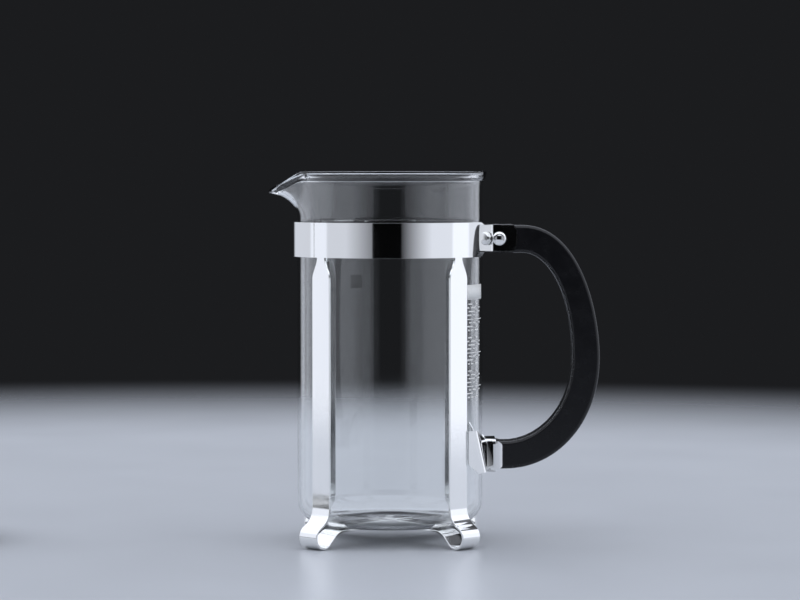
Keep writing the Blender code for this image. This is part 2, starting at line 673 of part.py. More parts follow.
def build_rim_coil(axis):
    """Close-wound spring bent into a ring."""
    curve = bpy.data.curves.new("rim_coil", "CURVE")
    curve.dimensions = "3D"
    curve.bevel_depth = COIL_WIRE
    curve.bevel_resolution = 0
    per_turn = 6
    count = COIL_TURNS * per_turn
    spline = curve.splines.new("POLY")
    spline.points.add(count - 1)
    winding = COIL_RADIUS - COIL_WIRE
    for index, point in enumerate(spline.points):
        around = 2 * math.pi * index / count
        twist = around * COIL_TURNS
        radius = COIL_RING + winding * math.cos(twist)
        height = COIL_MIDDLE + winding * math.sin(twist)
        point.co = (radius * math.cos(around), radius * math.sin(around), height, 1)
    spline.use_cyclic_u = True
    coil = bpy.data.objects.new("rim_coil", curve)
    parts.objects.link(coil)
    coil.parent = axis
    curve.materials.append(make_material("rim_coil_finish", *STEEL))


def build_filter_hub(axis):
    """Threaded hub that clamps the filter pack; the rod screws into its top."""
    low = PLATE + FIT
    seat = 2 * PLATE + MESH_SHEET + 3 * FIT
    bore = ROD_RADIUS + BORE_FIT
    profile = [
        (HUB_RADIUS - 1 * MM, HUB_HEIGHT),
        (HUB_RADIUS, HUB_HEIGHT - 1 * MM),
        (HUB_RADIUS, seat + 1.6 * MM),
        (HUB_FLANGE, seat + 1.2 * MM),
        (HUB_FLANGE, seat),
        (HUB_RADIUS, seat),
        (HUB_RADIUS, low),
        (bore, low),
        (bore, HUB_HEIGHT),
    ]
    turned("filter_hub", profile, STEEL, axis, closed=True, steps=ROUND_SMALL)


def build_rod(axis):
    low = PLATE + FIT
    high = SET_HEIGHT - KNOB_HEIGHT + KNOB_BORE_DEPTH - FIT
    tip = 0.6 * MM
    profile = [
        (0, high),
        (ROD_RADIUS - tip, high),
        (ROD_RADIUS, high - tip),
        (ROD_RADIUS, low + tip),
        (ROD_RADIUS - tip, low),
        (0, low),
    ]
    turned("rod", profile, STEEL, axis, steps=ROUND_SMALL)


def build_knob(axis):
    low = SET_HEIGHT - KNOB_HEIGHT
    bore = ROD_RADIUS + BORE_FIT
    ball = []
    for index in range(9):
        angle = math.pi / 2 - math.radians(148) * index / 8
        height = low + KNOB_HEIGHT * (KNOB_WAIST + (1 - KNOB_WAIST) * math.sin(angle))
        ball.append((max(KNOB_RADIUS * math.cos(angle), 0), height))
    profile = ball + [(KNOB_NECK, low + 1 * MM), (KNOB_NECK - 1 * MM, low), (bore, low)]
    profile += [(bore, low + KNOB_BORE_DEPTH), (0, low + KNOB_BORE_DEPTH)]
    turned("knob", profile, BLACK, axis, steps=ROUND_FINE)


# ---------------------------------------------------------------- lid
def build_lid_liner(axis):
    """Moulded inner lid: a top plate with a skirt that drops into the beaker."""
    rim = LID_RADIUS - DOME_SHEET - FIT
    inner = SKIRT_RADIUS - LID_SKIRT
    bore = BUSH_RADIUS + FIT
    profile = [
        (rim, LID_PLATE_HIGH),
        (rim, LID_PLATE_LOW),
        (SKIRT_RADIUS, LID_PLATE_LOW),
        (SKIRT_RADIUS, LID_LOW),
        (inner, LID_LOW),
        (inner, LID_PLATE_LOW),
        (bore, LID_PLATE_LOW),
        (bore, LID_PLATE_HIGH),
    ]
    liner = turned("lid_liner", profile, BLACK, axis, closed=True)
    slots = bmesh.new()
    for index in range(STRAINER_SLOTS):
        angle = math.pi + (index - (STRAINER_SLOTS - 1) / 2) * SLOT_PITCH
        place = Matrix.Rotation(angle, 4, "Z") @ Matrix.Translation((SKIRT_RADIUS, 0, LID_LOW + LID_SKIRT_HEIGHT / 2))
        size = Matrix.Diagonal((8 * MM, SLOT_WIDTH, LID_SKIRT_HEIGHT * 0.55, 1))
        bmesh.ops.create_cube(slots, size=1, matrix=place @ size)
    mesh = bpy.data.meshes.new("strainer_slots")
    slots.to_mesh(mesh)
    slots.free()
    cut(liner, make_cutter("strainer_slots", mesh, axis))


def dome_curve(radius, low, height, bore):
    """Half an ellipse from the edge in to the bore, as (radius, height)."""
    stop = math.acos(bore / radius)
    points = []
    for index in range(8):
        angle = stop * index / 7
        points.append((radius * math.cos(angle), low + height * math.sin(angle)))
    return points


def build_lid_dome(axis):
    """Thin pressed dome over the liner."""
    low = LID_PLATE_LOW
    edge = LID_PLATE_HIGH + FIT
    bore = BUSH_RADIUS + FIT
    outer = dome_curve(LID_RADIUS, edge + DOME_SHEET, DOME_HEIGHT - DOME_SHEET, bore)
    inner = dome_curve(LID_RADIUS - DOME_SHEET, edge, DOME_HEIGHT - DOME_SHEET, bore)
    profile = outer[::-1] + [(LID_RADIUS, low), (LID_RADIUS - DOME_SHEET, low)] + inner
    turned("lid_dome", profile, STEEL, axis, closed=True)


def build_lid_bush(axis):
    """Flanged guide for the rod, through the dome and the liner."""
    bore = ROD_RADIUS + BORE_FIT
    seat = LID_PLATE_HIGH + FIT + DOME_HEIGHT + FIT
    low = LID_PLATE_LOW - RING_HEIGHT - 2 * FIT
    profile = [
        (BUSH_FLANGE - 1 * MM, seat + 2 * MM),
        (BUSH_FLANGE, seat + 1.2 * MM),
        (BUSH_FLANGE, seat),
        (BUSH_RADIUS, seat),
        (BUSH_RADIUS, low),
        (bore, low),
        (bore, seat + 2 * MM),
    ]
    turned("lid_bush", profile, STEEL, axis, closed=True, steps=ROUND_SMALL)


def build_lid_ring(axis):
    """Ring on the bush's lower end that holds liner and dome together."""
    high = LID_PLATE_LOW - FIT
    bore = BUSH_RADIUS + FIT
    profile = [
        (RING_RADIUS, high),
        (RING_RADIUS, high - RING_HEIGHT + 0.6 * MM),
        (RING_RADIUS - 0.8 * MM, high - RING_HEIGHT),
        (bore, high - RING_HEIGHT),
        (bore, high),
    ]
    turned("lid_ring", profile, STEEL, axis, closed=True, steps=ROUND_SMALL)


for old in list(bpy.data.objects):
    bpy.data.objects.remove(old)
parts = make_collection("french_press")
cutters = make_collection("cutters")
press = make_axis("press_axis", PRESS_X)
plunger = make_axis("plunger_axis", PLUNGER_X)

build_beaker(press)
build_band(press)
build_leg_strap("leg_strap_lower", press, LEG_ANGLE, 0)
build_leg_strap("leg_strap_upper", press, -LEG_ANGLE, CROSS_STEP)
build_rivet(press)
build_lower_bracket(press)
build_handle(press)
build_bolt(press)
build_nut(press)
for build_part in (
    build_cross_plate,
    build_filter_mesh,
    build_spiral_plate,
    build_rim_coil,
    build_filter_hub,
    build_rod,
    build_knob,
    build_lid_liner,
    build_lid_dome,
    build_lid_bush,
    build_lid_ring,
):
    build_part(plunger)
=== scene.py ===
"""French press on a pale table: the finished look of every piece, soft studio light and the camera."""
import math

import bmesh
import bpy
from mathutils import Matrix, Vector
from mathutils.geometry import interpolate_bezier


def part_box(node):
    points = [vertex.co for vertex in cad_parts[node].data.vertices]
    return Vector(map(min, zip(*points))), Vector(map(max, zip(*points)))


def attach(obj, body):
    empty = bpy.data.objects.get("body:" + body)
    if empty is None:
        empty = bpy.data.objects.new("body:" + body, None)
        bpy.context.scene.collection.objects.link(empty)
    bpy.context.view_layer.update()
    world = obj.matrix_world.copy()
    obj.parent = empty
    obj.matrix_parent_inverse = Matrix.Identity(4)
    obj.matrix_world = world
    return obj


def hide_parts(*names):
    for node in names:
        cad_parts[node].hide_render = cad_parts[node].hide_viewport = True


MM = 0.001
MERGE = 0.00001
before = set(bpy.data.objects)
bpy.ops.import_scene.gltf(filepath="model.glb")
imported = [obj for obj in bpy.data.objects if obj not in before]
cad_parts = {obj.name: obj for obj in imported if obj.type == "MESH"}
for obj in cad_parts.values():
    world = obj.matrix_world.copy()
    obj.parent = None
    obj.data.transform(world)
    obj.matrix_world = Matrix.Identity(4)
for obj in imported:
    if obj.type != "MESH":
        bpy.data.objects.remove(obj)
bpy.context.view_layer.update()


def middle_x(node):
    low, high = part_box(node)
    return (low.x + high.x) / 2


PRESS_X = middle_x("cross_rivet")      # the beaker's upright axis
PLUNGER_X = middle_x("rod")            # the plunger's upright axis

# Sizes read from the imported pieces, in metres, about the beaker's axis
BEAKER_LOW, BEAKER_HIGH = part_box("beaker")
BAND_LOW, BAND_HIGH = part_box("band")
HANDLE_LOW, HANDLE_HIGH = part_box("handle")
BOLT_LOW, BOLT_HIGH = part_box("handle_bolt")
NUT_LOW, NUT_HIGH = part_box("handle_nut")
KNOB_LOW, KNOB_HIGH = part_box("knob")
ROD_LOW, ROD_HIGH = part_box("rod")
DOME_LOW, DOME_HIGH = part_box("lid_dome")
LINER_LOW, LINER_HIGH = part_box("lid_liner")
BUSH_LOW, BUSH_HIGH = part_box("lid_bush")
RING_LOW, RING_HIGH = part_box("lid_ring")
HUB_LOW, HUB_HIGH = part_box("filter_hub")
COIL_LOW, COIL_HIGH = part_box("rim_coil")
MESH_LOW, MESH_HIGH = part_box("filter_mesh")
SPIRAL_LOW, SPIRAL_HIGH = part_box("spiral_plate")
CROSS_LOW, CROSS_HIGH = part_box("cross_plate")
RIVET_LOW, RIVET_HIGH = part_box("cross_rivet")

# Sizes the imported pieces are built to
FIT = 0.3 * MM                         # gap between pieces that touch
GLASS_RADIUS = 47.8 * MM
GLASS_WALL = 1.8 * MM
GLASS_CORNER = 12.5 * MM
RIM_FLARE = 2.1 * MM
RIM_HEIGHT = 16.0 * MM
PUNT = 3.2 * MM
SPOUT_REACH = 12.6 * MM
SPOUT_DROP = 11.0 * MM
SPOUT_HALF_ANGLE = math.radians(27)
SPOUT_DEPTH = 24.0 * MM
SPOUT_BEND = 11.0 * MM
STRAP = 1.1 * MM
STRAP_OUTSIDE = GLASS_RADIUS + 1.6 * MM
STRAP_WIDTH = 12.5 * MM
TAB_WIDTH = 5.5 * MM
NECK_LENGTH = 11.0 * MM
BAND = 1.3 * MM
BAND_INSIDE = STRAP_OUTSIDE + FIT
LEG_ANGLE = math.radians(45)
BASE_HEIGHT = 7.9 * MM
CROSS_STEP = 1.4 * MM
FOOT_CURL = 6.1 * MM
FOOT_REACH = 3.1 * MM
FLARE_RADIUS = 10.0 * MM
FLARE_ANGLE = math.radians(58)
RETURN_ANGLE = math.radians(45)
RETURN_RADIUS = 9.0 * MM
FOOT_FLAT = math.radians(9)
EAR_LOW = 150.1 * MM
EAR_HEIGHT = 13.6 * MM
EAR_ROUND = 13.0 * MM
BOLT_X = 56.2 * MM
BOLT_Z = 156.6 * MM
EAR_START = BOLT_X - 4.645 * MM
HANDLE_HALF = 8.0 * MM
HANDLE_DEPTH = 14.2 * MM
HANDLE_EDGE = 1.8 * MM
HANDLE_MIDDLE = 95.5 * MM
EAR_SEAT = HANDLE_HALF - BAND - FIT
EAR_INSIDE = EAR_SEAT + FIT
WING_LOW = 42.4 * MM
WING_HEIGHT = 16.8 * MM
CLIP_START = 49.2 * MM
CLIP_LENGTH = 8.6 * MM
CLIP_ROUND = 2.6 * MM
WING_TURN = math.radians(30)
FOLD_HIGH = 4.7 * MM
FOLD_LOW = 10.0 * MM
WING_TIP = 6.2 * MM
TIP_LOW = 37.2 * MM
TIP_RISE = 0.6 * MM
BEAD = 4.4 * MM                        # height of the fire-polished bead
BEAD_BULGE = 0.7 * MM
BEAD_WALL = 3.2 * MM
COIL_RADIUS = 2.5 * MM
COIL_WIRE = 0.45 * MM
COIL_TURNS = 104
SKIRT = 1.6 * MM
FINE = 160                             # steps round a large turned piece
EXTRA_FINE = 192
SMALL = 64

# Clearances and bores shared by several pieces
BOLT_BORE = 2.2 * MM
ROD_BORE = 2.7 * MM
BUSH_BORE = 5.3 * MM
HUB_BORE = 5.5 * MM

# The handle's outline: straight runs at its ends, then how far each bend reaches
SHOULDER_RUN = 18.7 * MM
HEEL_RUN = 10.0 * MM
SHOULDER_PULL = 31.0 * MM
HEEL_PULL = 27.5 * MM
INNER_SHOULDER_PULL = 12.5 * MM
INNER_HEEL_PULL = 16.0 * MM
BACK_HIGH_PULL = 21.0 * MM
BACK_LOW_PULL = 33.0 * MM
GRIP_LOW_PULL = 28.0 * MM
GRIP_HIGH_PULL = 35.0 * MM
OUTLINE_STEPS = 28

# Table and light
TABLE_RADIUS = 1.25
TABLE_FADE = 0.6
STRIP_LIGHT = 0.28
DARK_LIGHT = 0.013
GAP_LIGHT = 0.002
CEILING_LIGHT = 1.5
FLOOR_LIGHT = 0.4


# ---------------------------------------------------------------- materials
def colour(text):
    """An sRGB hex colour as linear RGBA."""
    values = [int(text[i:i + 2], 16) / 255 for i in (1, 3, 5)]
    linear = [v / 12.92 if v <= 0.04045 else ((v + 0.055) / 1.055) ** 2.4 for v in values]
    return (*linear, 1.0)


def add_node(tree, kind, inputs=None, **settings):
    """Add one node; inputs gives its sockets a value or another node's output."""
    node = tree.nodes.new(kind)
    for name, value in settings.items():
        setattr(node, name, value)
    for name, value in (inputs or {}).items():
        if isinstance(value, bpy.types.NodeSocket):
            tree.links.new(value, node.inputs[name])
        else:
            node.inputs[name].default_value = value
    return node


def start_material(name, base, roughness, metallic=0.0, **sockets):
    """A Principled material whose plain values sit on the shader's own sockets."""
    material = bpy.data.materials.new(name)
    material.use_nodes = True
    tree = material.node_tree
    shader = tree.nodes["Principled BSDF"]
    shader.inputs["Base Color"].default_value = colour(base)
    shader.inputs["Roughness"].default_value = roughness
    shader.inputs["Metallic"].default_value = metallic
    for socket, value in sockets.items():
        shader.inputs[socket.replace("_", " ")].default_value = value
    place = add_node(tree, "ShaderNodeTexCoord").outputs["Object"]
    return material, tree, shader, place


def vary(tree, shader, place, size, low, high, socket="Roughness", stretch=(1, 1, 1), detail=3.0):
    """Drive a socket between two values by noise of a real size; returns the noise."""
    spread = add_node(tree, "ShaderNodeMapping", {"Vector": place, "Scale": stretch})
    noise = add_node(tree, "ShaderNodeTexNoise",
                     {"Vector": spread.outputs["Vector"], "Scale": 1 / size, "Detail": detail,
                      "Roughness": 0.55})
    if isinstance(low, tuple):
        blend = add_node(tree, "ShaderNodeMix", {"Factor": noise.outputs["Fac"], 6: low, 7: high},
                         data_type="RGBA")
        tree.links.new(blend.outputs[2], shader.inputs[socket])
    else:
        span = add_node(tree, "ShaderNodeMapRange",
                        {"Value": noise.outputs["Fac"], "From Min": 0.3, "From Max": 0.7,
                         "To Min": low, "To Max": high})
        tree.links.new(span.outputs["Result"], shader.inputs[socket])
    return noise


def bump(tree, shader, height, depth, strength=1.0, below=None):
    """Raise the surface by depth metres where height is 1."""
    inputs = {"Height": height, "Distance": depth, "Strength": strength}
    if below:
        inputs["Normal"] = below.outputs["Normal"]
    node = add_node(tree, "ShaderNodeBump", inputs)
    tree.links.new(node.outputs["Normal"], shader.inputs["Normal"])
    return node


def wave_scale(pitch):
    """Scale that makes a Wave texture repeat every pitch metres."""
    return 2 * math.pi / (20 * pitch)


def borosilicate_glass():
    """Blown and moulded borosilicate: clear, very faintly cool, with slow waves left by the mould."""
    material, tree, shader, place = start_material(
        "borosilicate_glass_blown", "#FEFFFF", 0.0, IOR=1.47, Transmission_Weight=1.0)
    waves = add_node(tree, "ShaderNodeTexNoise", {"Vector": place, "Scale": 1 / (26 * MM), "Detail": 1.0})
    bump(tree, shader, waves.outputs["Fac"], 0.12 * MM, 0.35)
    return material


def chromed_steel():
    """Mirror-polished chromed strip: sharp reflections, a trace of wipe marks, the slow ripple of rolling."""
    material, tree, shader, place = start_material("chromed_steel_polished", "#EFEFEE", 0.05, 1.0)
    vary(tree, shader, place, 9 * MM, 0.035, 0.085, stretch=(1, 1, 0.35))
    ripple = add_node(tree, "ShaderNodeTexNoise", {"Vector": place, "Scale": 1 / (30 * MM), "Detail": 0.0})
    first = bump(tree, shader, ripple.outputs["Fac"], 0.1 * MM, 0.5)
    marks = add_node(tree, "ShaderNodeMapping", {"Vector": place, "Scale": (1, 1, 0.08)})
    hair = add_node(tree, "ShaderNodeTexNoise", {"Vector": marks.outputs["Vector"], "Scale": 1 / (0.5 * MM)})
    bump(tree, shader, hair.outputs["Fac"], 0.0015 * MM, 0.5, first)
    return material


def turned_steel():
    """Turned stainless fastener: bright, with fine tool rings softened by tumbling."""
    material, tree, shader, place = start_material("stainless_steel_turned", "#C9C8C5", 0.18, 1.0)
    vary(tree, shader, place, 3 * MM, 0.13, 0.26)
    grain = add_node(tree, "ShaderNodeTexNoise", {"Vector": place, "Scale": 1 / (0.35 * MM), "Detail": 2.0})
    bump(tree, shader, grain.outputs["Fac"], 0.006 * MM, 0.5)
    return material


def pressed_steel():
    """Pressed stainless sheet: the mill's long roll grain runs one way under a soft shine."""
    material, tree, shader, place = start_material("stainless_sheet_pressed", "#C4C4C1", 0.26, 1.0)
    vary(tree, shader, place, 2.5 * MM, 0.2, 0.34, stretch=(0.1, 1, 1))
    marks = add_node(tree, "ShaderNodeMapping", {"Vector": place, "Scale": (0.05, 1, 1)})
    grain = add_node(tree, "ShaderNodeTexNoise", {"Vector": marks.outputs["Vector"], "Scale": 1 / (0.3 * MM)})
    bump(tree, shader, grain.outputs["Fac"], 0.01 * MM, 0.6)
    return material


def spring_wire():
    """Drawn stainless spring wire: bright along its turns, dull in the gaps between them."""
    material, tree, shader, place = start_material("stainless_spring_wire_drawn", "#BDBDBA", 0.22, 1.0)
    vary(tree, shader, place, 1.2 * MM, 0.16, 0.32)
    grain = add_node(tree, "ShaderNodeTexNoise", {"Vector": place, "Scale": 1 / (0.2 * MM)})
    bump(tree, shader, grain.outputs["Fac"], 0.004 * MM, 0.5)
    return material


def woven_mesh():
    """Fine woven wire cloth; its 0.25 mm threads are drawn at 0.7 mm so that they show."""
    material, tree, shader, place = start_material("stainless_wire_cloth_woven", "#9C9C98", 0.4, 1.0)
    pitch = 0.7 * MM
    spacing = {"Vector": place, "Scale": wave_scale(pitch)}
    warp = add_node(tree, "ShaderNodeTexWave", spacing, bands_direction="X")
    weft = add_node(tree, "ShaderNodeTexWave", spacing, bands_direction="Y")
    over = add_node(tree, "ShaderNodeMath", {0: warp.outputs["Fac"], 1: weft.outputs["Fac"]},
                    operation="MAXIMUM")
    # the light colour is the threads; the dark colour between them is painted shade standing in for the open
    # gaps of the weave
    shade = add_node(tree, "ShaderNodeMix",
                     {"Factor": over.outputs["Value"], 6: colour("#2E2E2D"), 7: colour("#B4B4B0")},
                     data_type="RGBA")
    tree.links.new(shade.outputs[2], shader.inputs["Base Color"])
    vary(tree, shader, place, 6 * MM, 0.32, 0.5)
    bump(tree, shader, over.outputs["Value"], 0.15 * MM, 0.8)
    return material


def black_polypropylene():
    """Moulded polypropylene: near-black, satin, with a fine spark-eroded grain."""
    material, tree, shader, place = start_material(
        "polypropylene_moulded_satin", "#0B0B0D", 0.25, IOR=1.49, Specular_IOR_Level=0.4)
    vary(tree, shader, place, 14 * MM, colour("#09090B"), colour("#0D0D10"), "Base Color")
    vary(tree, shader, place, 5 * MM, 0.22, 0.29)
    grain = add_node(tree, "ShaderNodeTexNoise", {"Vector": place, "Scale": 1 / (0.4 * MM), "Detail": 2.0})
    bump(tree, shader, grain.outputs["Fac"], 0.01 * MM, 0.3)
    return material


def black_abs():
    """Polished black moulding for the knob: a clear highlight over a trace of orange peel."""
    material, tree, shader, place = start_material("abs_moulded_polished", "#0A0A0B", 0.12, IOR=1.53)
    vary(tree, shader, place, 7 * MM, 0.09, 0.17)
    peel = add_node(tree, "ShaderNodeTexNoise", {"Vector": place, "Scale": 1 / (2.2 * MM), "Detail": 1.0})
    bump(tree, shader, peel.outputs["Fac"], 0.02 * MM, 0.4)
    return material


def white_enamel():
    """Fired enamel print: opaque white with a slightly uneven, chalky film."""
    material, tree, shader, place = start_material("ceramic_enamel_printed", "#ECECE8", 0.45)
    vary(tree, shader, place, 2 * MM, colour("#E2E2DE"), colour("#F4F4F1"), "Base Color")
    film = add_node(tree, "ShaderNodeTexNoise", {"Vector": place, "Scale": 1 / (0.3 * MM)})
    bump(tree, shader, film.outputs["Fac"], 0.01 * MM, 0.5)
    return material


def pale_table():
    """Pale satin laminate that fades out before its edge."""
    material, tree, shader, place = start_material("laminate_pale_satin", "#B9BCC0", 0.32)
    vary(tree, shader, place, 90 * MM, 0.33, 0.36)
    far = add_node(tree, "ShaderNodeVectorMath", {0: place}, operation="LENGTH")
    fade = add_node(tree, "ShaderNodeMapRange",
                    {"Value": far.outputs["Value"], "From Min": TABLE_FADE, "From Max": TABLE_RADIUS,
                     "To Min": 1.0, "To Max": 0.0}, interpolation_type="SMOOTHSTEP")
    tree.links.new(fade.outputs["Result"], shader.inputs["Alpha"])
    return material


GLASS = borosilicate_glass()
CHROME = chromed_steel()
FASTENER = turned_steel()
SHEET = pressed_steel()
SPRING = spring_wire()
WEAVE = woven_mesh()
SATIN = black_polypropylene()
POLISHED = black_abs()
ENAMEL = white_enamel()
FINISHES = {
    "clear_glass": GLASS, "polished_steel": CHROME, "fastener_steel": FASTENER, "pressed_steel": SHEET,
    "spring_steel": SPRING, "woven_steel": WEAVE, "black_plastic": SATIN, "gloss_black": POLISHED,
    "white_print": ENAMEL,
}


# ---------------------------------------------------------------- making pieces
def finish_piece(name, shape, body, finish, node=None, sharp=35, wall=0.0, side=-1, edge=0.0, rounds=3,
                 mirror=False):
    """Turn a bmesh into a named piece that stands for a CAD node and rides on its body."""
    mesh = bpy.data.meshes.new(name)
    shape.to_mesh(mesh)
    shape.free()
    mesh.materials.append(FINISHES[finish])
    mesh.shade_smooth()
    mesh.set_sharp_from_angle(angle=math.radians(sharp))
    piece = bpy.data.objects.new(name, mesh)
    bpy.context.scene.collection.objects.link(piece)
    if mirror:
        other = piece.modifiers.new("mirror", "MIRROR")
        other.use_axis = (False, True, False)
        other.merge_threshold = MERGE
    if wall:
        shell = piece.modifiers.new("wall", "SOLIDIFY")
        shell.thickness = wall
        shell.offset = side
        shell.use_even_offset = True
    if edge:
        rim = piece.modifiers.new("edges", "BEVEL")
        rim.width = edge
        rim.segments = rounds
        rim.limit_method = "ANGLE"
        rim.angle_limit = math.radians(40)
        rim.harden_normals = True
    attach(piece, body)
    if node:
        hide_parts(node)
    return piece


def arc(centre, radius, start, end, steps):
    angles = [start + (end - start) * i / steps for i in range(steps + 1)]
    return [(centre[0] + radius * math.cos(a), centre[1] + radius * math.sin(a)) for a in angles]


def circle(centre, radius, count):
    return arc(centre, radius, 0, 2 * math.pi * (count - 1) / count, count - 1)


def bezier(start, start_pull, end_pull, end, steps):
    knots = [Vector((*knot, 0)) for knot in (start, start_pull, end_pull, end)]
    return [(point.x, point.y) for point in interpolate_bezier(*knots, steps + 1)][:-1]


def chain(shape, points, closed=False):
    """Join points with edges."""
    verts = [shape.verts.new(p) for p in points]
    pairs = list(zip(verts, verts[1:]))
    if closed:
        pairs.append((verts[-1], verts[0]))
    return verts, [shape.edges.new(pair) for pair in pairs]


def spun(profile, steps=FINE, closed=False):
    """A profile of (radius, height) points turned about the upright axis."""
    shape = bmesh.new()
    verts, edges = chain(shape, [(r, 0, z) for r, z in profile], closed)
    bmesh.ops.spin(shape, geom=verts + edges, axis=(0, 0, 1), cent=(0, 0, 0), angle=2 * math.pi,
                   steps=steps, use_merge=True)
    bmesh.ops.remove_doubles(shape, verts=shape.verts, dist=MERGE)
    bmesh.ops.recalc_face_normals(shape, faces=shape.faces)
    return shape


def place(shape, x, turn=0.0, up=0.0):
    matrix = Matrix.Translation((x, 0, up)) @ Matrix.Rotation(turn, 4, "Z")
    bmesh.ops.transform(shape, matrix=matrix, verts=shape.verts)
    return shape


def face_out(shape, inside):
    """Make an open sheet's faces point away from a point."""
    shape.normal_update()
    score = sum((f.calc_center_median() - Vector(inside)).dot(f.normal) * f.calc_area() for f in shape.faces)
    if score < 0:
        bmesh.ops.reverse_faces(shape, faces=shape.faces)


def extend(shape, verts, edges):
    """Extrude a chain of edges; returns its new vertices in the same order, and its new edges."""
    made = bmesh.ops.extrude_edge_only(shape, edges=edges)["geom"]
    fresh = {v for v in made if isinstance(v, bmesh.types.BMVert)}
    moved = [next(e.other_vert(v) for e in v.link_edges if e.other_vert(v) in fresh) for v in verts]
    return moved, [e for e in made if isinstance(e, bmesh.types.BMEdge) and fresh.issuperset(e.verts)]


def swept_sheet(points, move):
    """A chain of points extruded by one move; returns the shape and its two rails."""
    shape = bmesh.new()
    first, edges = chain(shape, points)
    second, _ = extend(shape, first, edges)
    bmesh.ops.translate(shape, verts=second, vec=move)
    return shape, first, second


def ease(share):
    """Smooth step from 0 to 1."""
    share = min(max(share, 0), 1)
    return share * share * (3 - 2 * share)


# ---------------------------------------------------------------- beaker
def pull_spout(point):
    """Turn the rim outwards and down over a narrow angle on the -X side."""
    top = BEAKER_HIGH.z
    angle = math.pi - abs(math.atan2(point.y, point.x))
    up = (point.z - (top - SPOUT_DEPTH)) / SPOUT_DEPTH
    if angle >= SPOUT_HALF_ANGLE or up <= 0:
        return point
    share = math.cos(math.pi / 2 * angle / SPOUT_HALF_ANGLE) ** 2
    turn = math.pi / 2 * up
    radius = math.hypot(point.x, point.y)
    reach = radius + (SPOUT_REACH + RIM_FLARE * (1 - up ** 4)) * (1 - math.cos(turn)) * share
    bent = top - SPOUT_DEPTH + SPOUT_BEND * math.sin(turn) + (SPOUT_DEPTH - SPOUT_BEND - SPOUT_DROP) * up
    height = point.z + (bent - point.z) * share
    return Vector((point.x * reach / radius, point.y * reach / radius, height))


def bead_share(depth):
    """How far the rim's bead has swollen at a depth below the top."""
    return math.sin(math.pi * depth / BEAD) if 0 < depth < BEAD else 0.0


def make_beaker():
    low, top = BEAKER_LOW.z, BEAKER_HIGH.z
    corner = (GLASS_RADIUS - GLASS_CORNER, low + GLASS_CORNER)
    profile = []
    depths = [BEAD * index / 12 for index in range(13)]
    depths += [BEAD + (RIM_HEIGHT - BEAD) * index / 11 for index in range(1, 12)]
    for depth in depths:
        flare = RIM_FLARE * (1 - depth / RIM_HEIGHT) ** 4
        profile.append((GLASS_RADIUS + flare + BEAD_BULGE * bead_share(depth), top - depth))
    profile += [(GLASS_RADIUS, top - SPOUT_DEPTH * (0.7 + 0.05 * index)) for index in range(7)]
    wall_top = profile[-1][1]
    profile += [(GLASS_RADIUS, wall_top + (corner[1] - wall_top) * index / 6) for index in range(1, 6)]
    profile += arc(corner, GLASS_CORNER, 0, -math.pi / 2, 14)
    for index in range(1, 12):
        share = 1 - index / 12
        profile.append((corner[0] * share, low + PUNT * (1 - share ** 2) ** 2))
    profile.append((0, low + PUNT))
    shell = spun(profile, EXTRA_FINE)
    face_out(shell, (0, 0, 90 * MM))
    swell = shell.verts.layers.deform.verify()
    for vert in shell.verts:
        vert[swell][0] = bead_share(top - vert.co.z)
        vert.co = pull_spout(vert.co)
    place(shell, PRESS_X)
    piece = finish_piece("glass_beaker", shell, "beaker", "clear_glass", "beaker",
                         sharp=180, wall=BEAD_WALL, side=-1, edge=0.88 * MM, rounds=5)
    piece.vertex_groups.new(name="bead")
    piece.modifiers["wall"].vertex_group = "bead"
    piece.modifiers["wall"].thickness_vertex_group = GLASS_WALL / BEAD_WALL
    return piece


def bent_mark(shape, angle_low, angle_high, low, high):
    """One printed mark, laid on the glass wall."""
    steps = max(2, round((angle_high - angle_low) / math.radians(1.5)))
    made = bmesh.ops.create_grid(shape, x_segments=steps, y_segments=1, size=0.5)["verts"]
    radius = GLASS_RADIUS + 0.02 * MM
    for vert in made:
        angle = angle_low + (vert.co.x + 0.5) * (angle_high - angle_low)
        height = low + (vert.co.y + 0.5) * (high - low)
        vert.co = Vector((radius * math.cos(angle), radius * math.sin(angle), height))


def make_level_print():
    """Level marks fired on the glass beside the handle: a panel, then ticks and rows of short dashes."""
    shape = bmesh.new()
    start, end = math.radians(-35), math.radians(-12)
    bent_mark(shape, start, end, 125.8 * MM, 133.4 * MM)
    # where each mark starts and how wide it is, as shares of the panel's width
    rows = (
        ((0.06, 0.2), (0.5, 0.14)), ((0.0, 0.12), (0.2, 0.3), (0.7, 0.12)), ((0.08, 0.36), (0.6, 0.2)),
        ((0.0, 0.24), (0.34, 0.1)), ((0.0, 0.95),), ((0.1, 0.14), (0.3, 0.2), (0.66, 0.16)),
        ((0.0, 0.3), (0.56, 0.1)),
        ((0.05, 0.1), (0.2, 0.16), (0.44, 0.26)), (),
    )
    for row in range(27):
        height = (123.2 - 1.9 * row) * MM
        for left, width in rows[row % len(rows)]:
            thick = (0.45 if width > 0.9 else 0.75) * MM
            first = start + left * (end - start)
            bent_mark(shape, first, first + width * (end - start), height, height + thick)
    face_out(shape, (0, 0, 100 * MM))
    place(shape, PRESS_X)
    return finish_piece("level_print", shape, "beaker", "white_print", sharp=30, wall=0.05 * MM, side=1)


